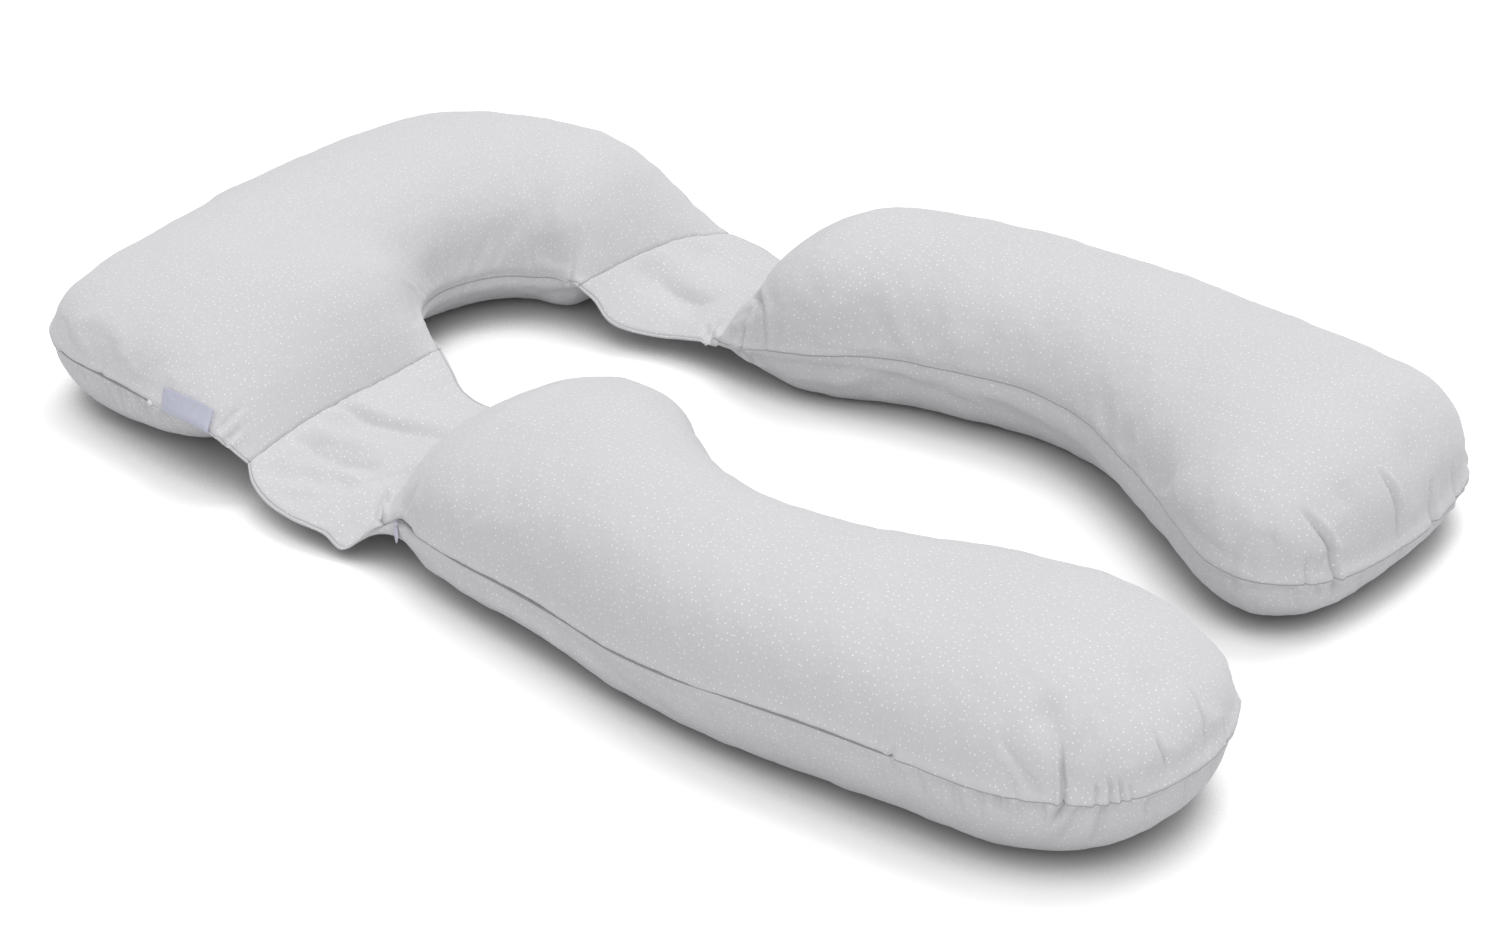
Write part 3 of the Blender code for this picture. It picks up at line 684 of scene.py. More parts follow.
RIGHT_TUCKS = (
    (1, 0.113, -0.543, 0.000, 0.066, 0.000, 0.044, 0.0066, 0.0026, 0.9),
    (-1, 0.113, -0.543, 0.000, 0.026, 0.002, 0.000, 0.0056, 0.0026, 0.7),
    (1, 0.204, -0.548, 0.008, 0.070, -0.004, 0.024, 0.0062, 0.0028, 0.9),
    (1, 0.082, -0.534, 0.000, 0.028, -0.003, 0.0, 0.0030, 0.0024, 0.7),
    (1, 0.095, -0.539, 0.004, 0.040, -0.016, 0.0, 0.0022, 0.0050, 0.7),
    (-1, 0.092, -0.538, 0.001, 0.029, -0.004, 0.000, 0.0034, 0.0034, 0.6),
    (-1, 0.150, -0.548, 0.001, 0.029, 0.000, 0.000, 0.0042, 0.0034, 0.6),
    (1, 0.262, -0.542, 0.000, 0.040, 0.004, -0.010, 0.0050, 0.0040, 0.7),
    (1, 0.310, -0.533, 0.000, 0.034, 0.0, 0.0, 0.0030, 0.0034, 0.6),
    (1, 0.360, -0.510, 0.000, 0.034, -0.004, 0.0, 0.0030, 0.0036, 0.6),
    (-1, 0.215, -0.548, 0.001, 0.029, 0.000, 0.000, 0.0036, 0.0034, 0.6),
    (-1, 0.290, -0.537, 0.001, 0.033, 0.000, 0.000, 0.0036, 0.0036, 0.6),
    (1, 0.122, 0.172, 0.000, 0.034, 0.010, 0.0, 0.0046, 0.0034, 0.8),
    (1, 0.113, 0.122, 0.000, 0.044, 0.012, -0.008, 0.0050, 0.0030, 0.8),
    (-1, 0.113, 0.122, 0.000, 0.037, -0.014, 0.000, 0.0056, 0.0030, 0.7),
    (1, 0.318, 0.128, 0.001, 0.032, -0.006, 0.0, 0.0020, 0.0040, 0.6),
)
HEAD_TUCKS = (
    (-1, -0.330, 0.530, 0.001, 0.030, 0.000, 0.000, 0.0029, 0.0030, 0.6),
    (-1, -0.334, 0.496, 0.001, 0.043, 0.001, 0.000, 0.0045, 0.0034, 0.8),
    (-1, -0.336, 0.478, 0.001, 0.045, 0.000, 0.000, 0.0045, 0.0030, 0.8),
    (-1, -0.337, 0.463, 0.001, 0.040, 0.001, 0.000, 0.0042, 0.0028, 0.8),
    (-1, -0.339, 0.444, 0.001, 0.048, 0.000, 0.000, 0.0048, 0.0034, 0.8),
    (-1, -0.341, 0.424, 0.001, 0.043, -0.001, 0.000, 0.0045, 0.0032, 0.8),
    (-1, -0.343, 0.404, 0.001, 0.043, 0.000, 0.000, 0.0042, 0.0030, 0.8),
    (-1, -0.342, 0.374, 0.001, 0.037, 0.000, 0.000, 0.0035, 0.0032, 0.6),
    (1, -0.334, 0.494, 0.000, 0.016, 0.0, 0.0, 0.0014, 0.0024, 0.6),
    (1, -0.341, 0.343, 0.000, 0.046, 0.004, 0.0, 0.0034, 0.0030, 0.9),
    (1, -0.336, 0.334, 0.000, 0.026, 0.002, 0.0, 0.0034, 0.0026, 0.8),
    (-1, -0.338, 0.338, 0.000, 0.043, 0.002, 0.000, 0.0058, 0.0034, 0.8),
    (1, 0.099, 0.322, 0.002, 0.040, 0.004, 0.0, 0.0028, 0.0032, 0.7),
    (1, 0.291, 0.330, 0.001, 0.034, 0.0, 0.0, 0.0030, 0.0036, 0.6),
)
# layer, x0, y0, x1, y1, x2, y2, depth, half width, lip
LEFT_CREASES = (
    (1, -0.280, 0.185, -0.320, 0.169, -0.336, 0.133, 0.0095, 0.0030, 1.0),
    (1, -0.333, 0.136, -0.346, 0.111, -0.343, 0.095, 0.0050, 0.0030, 0.8),
    (1, -0.212, 0.322, -0.218, 0.267, -0.150, 0.194, 0.0048, 0.0050, 0.8),
    (1, -0.271, 0.307, -0.282, 0.256, -0.259, 0.219, 0.0048, 0.0050, 0.8),
    (1, -0.205, 0.300, -0.180, 0.262, -0.150, 0.240, 0.0016, 0.0070, 0.8),
    (1, -0.262, 0.300, -0.268, 0.250, -0.240, 0.212, 0.0024, 0.0060, 0.8),
    (1, -0.296, 0.300, -0.292, 0.266, -0.276, 0.246, 0.0022, 0.0055, 0.8),
    (1, -0.338, 0.262, -0.330, 0.236, -0.306, 0.214, 0.0024, 0.0060, 0.8),
    (1, -0.300, 0.226, -0.280, 0.200, -0.246, 0.186, 0.0026, 0.0060, 0.8),
    (1, -0.180, 0.220, -0.150, 0.180, -0.110, 0.160, 0.0020, 0.0060, 0.7),
    (1, -0.130, 0.300, -0.118, 0.262, -0.100, 0.240, 0.0018, 0.0060, 0.6),
)
RIGHT_CREASES = (
    (1, 0.176, 0.280, 0.160, 0.240, 0.176, 0.196, 0.0030, 0.0060, 0.8),
    (1, 0.150, 0.140, 0.136, 0.116, 0.106, 0.084, 0.0042, 0.0032, 0.8),
    (1, 0.143, 0.189, 0.123, 0.166, 0.105, 0.144, 0.0050, 0.0030, 0.9),
    (1, 0.180, 0.140, 0.140, 0.130, 0.108, 0.100, 0.0016, 0.0050, 0.6),
    (1, 0.220, 0.276, 0.214, 0.230, 0.226, 0.190, 0.0022, 0.0070, 0.8),
    (1, 0.270, 0.272, 0.262, 0.240, 0.266, 0.212, 0.0018, 0.0070, 0.8),
)
HEAD_CREASES = (
    (1, 0.183, 0.304, 0.188, 0.316, 0.200, 0.334, 0.0016, 0.0034, 0.7),
    (1, 0.205, 0.300, 0.208, 0.312, 0.217, 0.326, 0.0012, 0.0034, 0.7),
)
# seam x0, y0 to seam x1, y1, layer, strength
LEFT_GATHERS = (
    (-0.372, -0.520, -0.090, -0.550, 1, 0.0012),
    (-0.380, -0.470, -0.090, -0.550, -1, 0.0046),
    (-0.352, 0.235, -0.338, 0.110, 1, 0.0010),
    (-0.088, 0.205, -0.064, 0.090, 1, 0.0012),
)
RIGHT_GATHERS = (
    (0.390, -0.460, 0.047, -0.458, 1, 0.0014),
    (0.390, -0.460, 0.047, -0.458, -1, 0.0032),
    (0.122, 0.180, 0.113, 0.060, 1, 0.0016),
)
HEAD_GATHERS = (
    (-0.332, 0.520, -0.330, 0.320, -1, 0.0036),
    (-0.343, 0.390, -0.330, 0.320, 1, 0.0012),
)

# %% Tucks as heights
CHUNK = 12


def across_line(points, line):
    """Nearest place on a bent line for every point: share along it, distance, and side."""
    start = line[:-1]
    run = line[1:] - start
    long2 = np.maximum((run**2).sum(axis=1), 1e-12)
    offset = points[:, None, :] - start[None, :, :]
    share = np.clip((offset * run).sum(axis=2) / long2, 0.0, 1.0)
    gap = offset - share[:, :, None] * run
    far = np.sqrt((gap**2).sum(axis=2))
    best = far.argmin(axis=1)
    pick = np.arange(len(points))
    place = (best + share[pick, best]) / len(run)
    return place, far[pick, best], gap[pick, best], run[best] / np.sqrt(long2[best])[:, None]


def tuck_height(place, signed, depth, half, lip, both_ends):
    """A bell-shaped valley, a lower and wider lip on its positive side, faded at the ends."""
    fade = np.clip((1 - place) / 0.45, 0, 1) ** 0.7
    if both_ends:
        fade = fade * np.clip(place / 0.25, 0, 1) ** 0.7
    valley = np.exp(-(np.abs(signed / half) ** 1.25))
    raised = lip * 0.45 * np.exp(-(((signed / half - 2.2) / 1.5) ** 2))
    return depth * fade * (raised - valley)


def seam_place(skin, x, y):
    """Run along the outline of the seam point nearest to a plan point."""
    on_seam = np.flatnonzero(skin["inward"] < 1e-6)
    flat = skin["points"][on_seam, 0:2]
    return skin["along"][on_seam[np.hypot(flat[:, 0] - x, flat[:, 1] - y).argmin()]]


def add_tucks(skin, height, tucks):
    """Tucks worked out in sewing coordinates: run along the seam, distance in from it."""
    for layer, x, y, start, long, slant, bend, depth, half, lip in tucks:
        t = np.linspace(0.0, 1.0, CHUNK)
        run = seam_place(skin, x, y) + slant * t + bend * t**2
        line = np.stack([run, start + long * t], axis=1)
        flat = np.stack([skin["along"], skin["inward"]], axis=1)
        near = np.flatnonzero((skin["layer"] == layer) & (np.abs(flat[:, 0] - run.mean()) < 0.09) & (flat[:, 1] < 0.14))
        place, far, gap, heading = across_line(flat[near], line)
        side = np.sign(heading[:, 0] * gap[:, 1] - heading[:, 1] * gap[:, 0])
        height[near] += tuck_height(place, far * side, depth, half, lip, start > 0.003)


def add_creases(skin, height, creases):
    """Creases on the surface: a curve bent towards the middle point, laid on the skin."""
    for layer, x0, y0, x1, y1, x2, y2, depth, half, lip in creases:
        t = np.linspace(0.0, 1.0, CHUNK)[:, None]
        ends = np.array([(x0, y0), (x1, y1), (x2, y2)])
        plan = ends[0] * (1 - t) ** 2 + 2 * ends[1] * t * (1 - t) + ends[2] * t**2
        same = np.flatnonzero(skin["layer"] == layer)
        points = skin["points"][same]
        near = same[np.hypot(points[:, 0] - plan[:, 0].mean(), points[:, 1] - plan[:, 1].mean()) < 0.13]
        points = skin["points"][near]
        nearest = np.hypot(points[:, None, 0] - plan[None, :, 0], points[:, None, 1] - plan[None, :, 1]).argmin(axis=0)
        line = points[nearest]
        place, far, gap, heading = across_line(points, line)
        side = np.sign(heading[:, 0] * gap[:, 1] - heading[:, 1] * gap[:, 0])
        height[near] += tuck_height(place, far * side, depth, half, lip, True)


# %% [markdown]
# The relief of a cover puts all of this together.  On the neck both layers must move the same
# way, or they would cut through each other, so there the height is applied upwards and not
# along the normal.

# %% Relief of a cover
ZIP_GROOVE = 0.0015
END_PUCKER = 0.0010
END_GROOVE = 0.0002


def ridge_of_seam(skin, groove):
    """The cloth is pinched to a low ridge at the seam, with a narrow groove along its line."""
    edge = EDGE_LINE * (1 - skin["fill"]) * (skin["layer"] > 0)
    off = np.abs(skin["inward"] - edge)
    ridge = SEAM_RIDGE * np.exp(-skin["inward"] / RIDGE_REACH)
    return ridge * (groove == SEAM_GROOVE) * skin["fill"] - groove * np.exp(-((off / SEAM_HALF) ** 2))


def relief(skin, seed, tucks, creases, gathers, zip_reach):
    """Height of the cloth over the plain pouch, in metres, for every point of the skin."""
    along, inward, fill = skin["along"], skin["inward"], skin["fill"]
    groove = np.full(len(along), SEAM_GROOVE)
    if zip_reach:
        y = skin["points"][:, 1]
        on_zip = (y < zip_reach[0]) & (y > zip_reach[1]) & (skin["points"][:, 0] < -0.2)
        groove = np.where(on_zip, ZIP_GROOVE, groove)
    height = ridge_of_seam(skin, groove)
    height += WAVE_HEIGHT * waves(skin["points"], 7) * (0.5 + 0.5 * fill)
    height += 0.0003 * waves(skin["points"], 11, longest=0.030, count=8)
    height += puckers(along, inward, seed, np.where(skin["layer"] > 0, 0.0006, 0.0012)) * (0.3 + 0.7 * fill)
    for x0, y0, x1, y1, layer, strength in gathers:
        low, high = sorted((seam_place(skin, x0, y0), seam_place(skin, x1, y1)))
        inside = np.clip((along - low) / 0.02, 0, 1) * np.clip((high - along) / 0.02, 0, 1)
        here = inside * (skin["layer"] == layer)
        height += here * puckers(along, inward, seed + 20, strength, 0.022)
    add_tucks(skin, height, tucks)
    add_creases(skin, height, creases)
    end = skin["from_end"]
    across = skin["points"][:, 0]
    height += puckers(across, end, seed + 40, END_PUCKER, 0.014) * (end < 0.2)
    height -= END_GROOVE * np.exp(-((end / 0.0018) ** 2))
    return height


def drape(skin, height):
    """Moves the skin by its height: along the normal where it is filled, upwards on the neck."""
    normal = outward(skin["points"], skin["quads"], skin["threes"])
    fill = np.clip(skin["fill"] * 1.4, 0, 1)[:, None]
    upward = np.zeros_like(normal)
    upward[:, 2] = 1.0
    way = normal * fill + upward * (1 - fill)
    points = skin["points"] + way * height[:, None] - PLAN_MIDDLE
    points[:, 2] = np.maximum(points[:, 2], 0.0004)
    return points


# %% [markdown]
# The cover is a light grey jersey with small white pin dots, printed a little unevenly.  The
# dots lie on the flat cloth, so they follow the cover's own map in metres: a cell pattern gives
# one dot a cell, at a place that wanders.  The knit is a fine bump, and a little sheen softens
# the edges as brushed cotton does.  Along every seam a thin dark line is painted shade: the
# shadow of the seam's groove, a groove too narrow for the mesh.

# %% Finish of the cover
COVER_GREY = (0.560, 0.561, 0.574, 1.0)
COVER_PALE = (0.630, 0.631, 0.642, 1.0)
DOT_WHITE = (0.93, 0.93, 0.94, 1.0)
# The seam colour below is painted shade: a thin dark line where each seam's groove lies in shadow.
SEAM_PAINTED_SHADOW = (0.20, 0.20, 0.22, 1.0)
DOTS_A_METRE = 162.0
DOT_RADIUS = 0.00076
KNIT_A_METRE = 900.0
SEAM_SHADOW_WIDTH = 0.00045


def node(tree, kind, **values):
    """A new node with its settings; names with a space set sockets, others properties."""
    made = tree.nodes.new(kind)
    for key, value in values.items():
        if key.startswith("in_"):
            made.inputs[key[3:].replace("_", " ")].default_value = value
        else:
            setattr(made, key, value)
    return made


def dots(tree, cloth, per_metre, radius, wander):
    """One dot in each cell: white where the distance to the cell's middle is under the radius."""
    cells = node(tree, "ShaderNodeTexVoronoi", voronoi_dimensions="2D", in_Scale=per_metre, in_Randomness=wander)
    tree.links.new(cloth, cells.inputs["Vector"])
    disc = node(tree, "ShaderNodeMapRange", in_From_Min=radius * per_metre * 1.15, in_From_Max=radius * per_metre * 0.75)
    tree.links.new(cells.outputs["Distance"], disc.inputs["Value"])
    pick = node(tree, "ShaderNodeSeparateColor")
    tree.links.new(cells.outputs["Color"], pick.inputs["Color"])
    strong = node(tree, "ShaderNodeMapRange", in_From_Min=0.0, in_From_Max=1.0, in_To_Min=0.10, in_To_Max=0.74)
    tree.links.new(pick.outputs["Red"], strong.inputs["Value"])
    both = node(tree, "ShaderNodeMath", operation="MULTIPLY")
    tree.links.new(disc.outputs["Result"], both.inputs[0])
    tree.links.new(strong.outputs["Result"], both.inputs[1])
    return both.outputs["Value"]


def cover_finish():
    material = bpy.data.materials.new("dotted_jersey")
    material.use_nodes = True
    tree = material.node_tree
    base = tree.nodes["Principled BSDF"]
    base.inputs["Roughness"].default_value = 0.88
    base.inputs["Specular IOR Level"].default_value = 0.22
    base.inputs["Sheen Weight"].default_value = 0.20
    base.inputs["Sheen Roughness"].default_value = 0.45
    cloth = node(tree, "ShaderNodeUVMap", uv_map="cloth").outputs["UV"]
    place = node(tree, "ShaderNodeTexCoord").outputs["Object"]
    cloud = node(tree, "ShaderNodeTexNoise", in_Scale=9.0, in_Detail=3.0)
    tree.links.new(place, cloud.inputs["Vector"])
    heather = node(tree, "ShaderNodeTexNoise", in_Scale=420.0, in_Detail=2.0)
    tree.links.new(place, heather.inputs["Vector"])
    tone = node(tree, "ShaderNodeMath", operation="MULTIPLY_ADD")
    tone.inputs[1].default_value = 0.55
    tree.links.new(heather.outputs["Fac"], tone.inputs[0])
    half = node(tree, "ShaderNodeMath", operation="MULTIPLY")
    half.inputs[1].default_value = 0.45
    tree.links.new(cloud.outputs["Fac"], half.inputs[0])
    tree.links.new(half.outputs["Value"], tone.inputs[2])
    ground = node(tree, "ShaderNodeMix", data_type="RGBA")
    ground.inputs["A"].default_value = COVER_GREY
    ground.inputs["B"].default_value = COVER_PALE
    tree.links.new(tone.outputs["Value"], ground.inputs["Factor"])
    printed = node(tree, "ShaderNodeMix", data_type="RGBA")
    printed.inputs["B"].default_value = DOT_WHITE
    tree.links.new(dots(tree, cloth, DOTS_A_METRE, DOT_RADIUS, 0.85), printed.inputs["Factor"])
    tree.links.new(ground.outputs["Result"], printed.inputs["A"])
    # Painted shade along the seams: a thin dark line standing for the groove's shadow, placed by the distance from the
    # seam in the sewing map.
    from_seam = node(tree, "ShaderNodeSeparateXYZ")
    tree.links.new(node(tree, "ShaderNodeUVMap", uv_map="sewing").outputs["UV"], from_seam.inputs["Vector"])
    line = node(tree, "ShaderNodeMapRange", in_From_Min=SEAM_SHADOW_WIDTH * 2.2, in_From_Max=SEAM_SHADOW_WIDTH * 0.6, in_To_Max=0.62)
    tree.links.new(from_seam.outputs["Y"], line.inputs["Value"])
    sewn = node(tree, "ShaderNodeMix", data_type="RGBA")
    sewn.inputs["B"].default_value = SEAM_PAINTED_SHADOW
    tree.links.new(line.outputs["Result"], sewn.inputs["Factor"])
    tree.links.new(printed.outputs["Result"], sewn.inputs["A"])
    tree.links.new(sewn.outputs["Result"], base.inputs["Base Color"])
    knit = node(tree, "ShaderNodeTexVoronoi", voronoi_dimensions="2D", in_Scale=KNIT_A_METRE, in_Randomness=0.35)
    tree.links.new(cloth, knit.inputs["Vector"])
    bump = node(tree, "ShaderNodeBump", in_Strength=0.25, in_Distance=0.0003)
    tree.links.new(knit.outputs["Distance"], bump.inputs["Height"])
    soft = node(tree, "ShaderNodeTexNoise", in_Scale=60.0, in_Detail=4.0)
    tree.links.new(place, soft.inputs["Vector"])
    crumple = node(tree, "ShaderNodeBump", in_Strength=0.30, in_Distance=0.0010)
    tree.links.new(soft.outputs["Fac"], crumple.inputs["Height"])
    tree.links.new(bump.outputs["Normal"], crumple.inputs["Normal"])
    tree.links.new(crumple.outputs["Normal"], base.inputs["Normal"])
    return material


JERSEY = cover_finish()

# %% [markdown]
# Now the three covers.  An arm is sewn from four half bodies and two fans for the foot, the head
# from four halves.  Rows are closer where the shoulder swells and where the foot is tucked.

# %% Build the arms
ARM_ROWS = 320
FOOT_ROWS = 320
ZIP_REACH_ARM = (0.128, -0.468)
ZIP_REACH_HEAD = (0.556, 0.424)


def arm_skin(table, foot, neck, folds, tuck_spots):
    """Skin of one arm: body halves and foot fans, top and underneath."""
    total = spine_knots(table)[-1]
    spots = ((0.0, 0.012, 1.5), (neck + 0.012, 0.040, 1.4))
    at = spread(total, ARM_ROWS, spots)
    fill = swell(at - neck, SHOULDER_ROLL)
    seam = foot_seam(table, foot, FOOT_ROWS, tuck_spots)
    found = spline(table, spine_knots(table), at)
    outer_run = lengths(found[:, 0:3])[-1]
    round_run = outer_run + lengths(seam)[-1]
    back = round_run + lengths(found[:, 3:6])[-1]
    shift = np.array([0.0, -PIECE_GAP / 2, 0.0])
    grids = []
    for layer in (1, -1):
        grids += body_grids(table, at, fill, at, folds, layer, 0.0, back)
        grids.append(foot_grid(table, seam, folds, layer, outer_run))
    for g in grids:
        g["points"] = g["points"] + shift
    skin = sew(grids)
    add_dents(skin, grids)
    return skin


def make_cover(name, stands_for, skin, height):
    """A closed padded piece in the dotted jersey that stands for its solid."""
    points = drape(skin, height)
    mesh = mesh_from(name, points, skin["quads"], skin["threes"], skin["maps"])
    thing = show(name, mesh, JERSEY)
    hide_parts(stands_for)
    triangles = 2 * len(skin["quads"]) + len(skin["threes"])
    print(name, len(points), "points,", triangles, "triangles")
    return thing


left_skin = arm_skin(LEFT_ARM, LEFT_FOOT, LEFT_NECK, LEFT_FOLDS, ((0.17, 0.05, 1.6), (0.30, 0.06, 0.6)))
left_height = relief(left_skin, 100, LEFT_TUCKS, LEFT_CREASES, LEFT_GATHERS, ZIP_REACH_ARM)
make_cover("left_arm_cover", "left_arm", left_skin, left_height)
right_skin = arm_skin(RIGHT_ARM, RIGHT_FOOT, RIGHT_NECK, RIGHT_FOLDS, ((0.36, 0.06, 1.4),))
right_height = relief(right_skin, 200, RIGHT_TUCKS, RIGHT_CREASES, RIGHT_GATHERS, None)
make_cover("right_arm_cover", "right_arm", right_skin, right_height)

# %% Build the head
HEAD_ROWS = 420
END_EASE = 1.9


def head_fill(at):
    """The head's fill along its spine: none at both end seams, full between them."""
    total = spine_knots(HEAD)[-1]
    return np.minimum(swell(at, HEAD_LEFT_ROLL), swell(total - at, HEAD_RIGHT_ROLL)) ** END_EASE


def head_skin():
    """Skin of the head cushion: two halves on top and two underneath."""
    total = spine_knots(HEAD)[-1]
    at = spread(total, HEAD_ROWS, ((0.0, 0.05, 1.5), (total, 0.05, 1.5)))
    shift = np.array([0.0, PIECE_GAP / 2, 0.0])
    grids = []
    for layer in (1, -1):
        grids += body_grids(HEAD, at, head_fill(at), np.minimum(at, total - at), HEAD_FOLDS, layer, 0.0, 3.0)
    for g in grids:
        g["points"] = g["points"] + shift
    skin = sew(grids)
    add_dents(skin, grids)
    return skin


head = head_skin()
head_height = relief(head, 300, HEAD_TUCKS, HEAD_CREASES, HEAD_GATHERS, ZIP_REACH_HEAD)
make_cover("head_cover", "head_cushion", head, head_height)

# %% [markdown]
# A closed concealed zip shows only as a thin dark line between two rolled edges of cloth.  It is
# a narrow tape that follows the seam, slightly ribbed by the closed coil behind it.  The tape's
# dark grey is painted shade: it stands for the shadow in the narrow gap between the edges.

# %% Zips
ZIP_HEIGHT = 0.0022
ZIP_DEPTH = 0.0018
ZIP_SUNK = 0.0012
COIL_PITCH = 0.0015


def simple_finish(name, colour, roughness, grain, depth, sheen=0.0):
    """A finish with a slight cloud of colour and a fine grain."""
    material = bpy.data.materials.new(name)
    material.use_nodes = True
    tree = material.node_tree
    base = tree.nodes["Principled BSDF"]
    base.inputs["Roughness"].default_value = roughness
    base.inputs["Sheen Weight"].default_value = sheen
    place = node(tree, "ShaderNodeTexCoord").outputs["Object"]
    cloud = node(tree, "ShaderNodeTexNoise", in_Scale=grain / 6, in_Detail=2.0)
    tree.links.new(place, cloud.inputs["Vector"])
    tint = node(tree, "ShaderNodeMix", data_type="RGBA")
    tint.inputs["A"].default_value = (*[c * 0.90 for c in colour], 1.0)
    tint.inputs["B"].default_value = (*[min(c * 1.10, 1.0) for c in colour], 1.0)
    tree.links.new(cloud.outputs["Fac"], tint.inputs["Factor"])
    tree.links.new(tint.outputs["Result"], base.inputs["Base Color"])
    fine = node(tree, "ShaderNodeTexNoise", in_Scale=grain, in_Detail=3.0)
    tree.links.new(place, fine.inputs["Vector"])
    bump = node(tree, "ShaderNodeBump", in_Strength=0.4, in_Distance=depth)
    tree.links.new(fine.outputs["Fac"], bump.inputs["Height"])
    tree.links.new(bump.outputs["Normal"], base.inputs["Normal"])
    return material


def seam_path(table, reach, spacing):
    """Points of the outer seam between two places along Y, evenly spaced."""
    at = np.linspace(0.0, spine_knots(table)[-1], 6000)
    outer = spline(table, spine_knots(table), at)[:, 0:3]
    keep = outer[(outer[:, 1] < max(reach)) & (outer[:, 1] > min(reach)) & (outer[:, 0] < 0)]
    if keep[0, 1] < keep[-1, 1]:
        keep = keep[::-1]
    run = lengths(keep)
    even = np.linspace(0.0, run[-1], int(run[-1] / spacing) + 1)
    return np.stack([np.interp(even, run, keep[:, k]) for k in range(3)], axis=1), even


def side_of(path):
    """Unit direction in plan away from the cushion, square to the path."""
    run = np.gradient(path, axis=0)
    out = np.stack([-np.abs(run[:, 1]), run[:, 0] * np.sign(run[:, 1]), np.zeros(len(run))], axis=1)
    return out / np.linalg.norm(out, axis=1)[:, None]


def tube(path, side, half_side, half_up, sides=12):
    """A closed tube: an ellipse carried along the path, both ends drawn to a point."""
    angle = np.linspace(0, 2 * np.pi, sides, endpoint=False)
    up = np.array([0.0, 0.0, 1.0])
    ring = (
        path[:, None, :]
        + side[:, None, :] * (np.cos(angle)[None, :, None] * half_side[:, None, None])
        + up * (np.sin(angle)[None, :, None] * half_up[:, None, None])
    )
    points = np.concatenate([ring.reshape(-1, 3), path[:1], path[-1:]])
    count = len(path)
    number = np.arange(count * sides).reshape(count, sides)
    after = np.roll(number, -1, axis=1)
    quads = np.stack([number[:-1], after[:-1], after[1:], number[1:]], axis=-1).reshape(-1, 4)
    first = np.full(sides, count * sides)
    threes = np.concatenate([
        np.stack([after[0], number[0], first], axis=1),
        np.stack([number[-1], after[-1], first + 1], axis=1),
    ])
    inside = points[quads].mean(axis=1) - np.repeat(path[:-1] + path[1:], sides, axis=0) / 2
    face = np.cross(points[quads[:, 2]] - points[quads[:, 0]], points[quads[:, 3]] - points[quads[:, 1]])
    if (face * inside).sum() < 0:
        quads = quads[:, ::-1]
        threes = threes[:, ::-1]
    return points, quads, threes


def make_zip(name, table, reach, shift_y, material):
    """The tape of a closed zip: an upright flat tube with a rib at every coil."""
    path, even = seam_path(table, reach, 0.0005)
    side = side_of(path)
    rib = 1.0 + 0.10 * np.cos(even * 2 * np.pi / COIL_PITCH)
    shut = np.clip(np.minimum(even, even[-1] - even) / 0.002, 0.02, 1.0)
    middle = path - side * ZIP_SUNK + np.array([0.0, shift_y, 0.0]) - PLAN_MIDDLE
    points, quads, threes = tube(middle, side, ZIP_DEPTH / 2 * rib * shut, ZIP_HEIGHT / 2 * rib * shut)
    thing = show(name + "_coil", mesh_from(name, points, quads, threes), material)
    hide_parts(name)
    print(name, "runs", round(1000 * even[-1]), "mm")
    return path, side


# The tape's dark grey is painted shade of the narrow gap in the seam.
ZIP_TAPE_GAP_SHADE = simple_finish("zip_tape", (0.27, 0.27, 0.29), 0.6, 900.0, 0.0002)
arm_path, arm_side = make_zip("arm_zip", LEFT_ARM, ZIP_REACH_ARM, -PIECE_GAP / 2, ZIP_TAPE_GAP_SHADE)
head_path, head_side = make_zip("head_zip", HEAD, ZIP_REACH_HEAD, PIECE_GAP / 2, ZIP_TAPE_GAP_SHADE)

# %% [markdown]
# The puller hangs from the zip's start: a small slider and below it a leaf-shaped tab of pale
# lavender metal.  Both are ellipses carried straight down with a changing width.

# %% Puller
PULL_LENGTH = 0.021
PULL_WIDTH = 0.0060
PULL_DEPTH = 0.0014


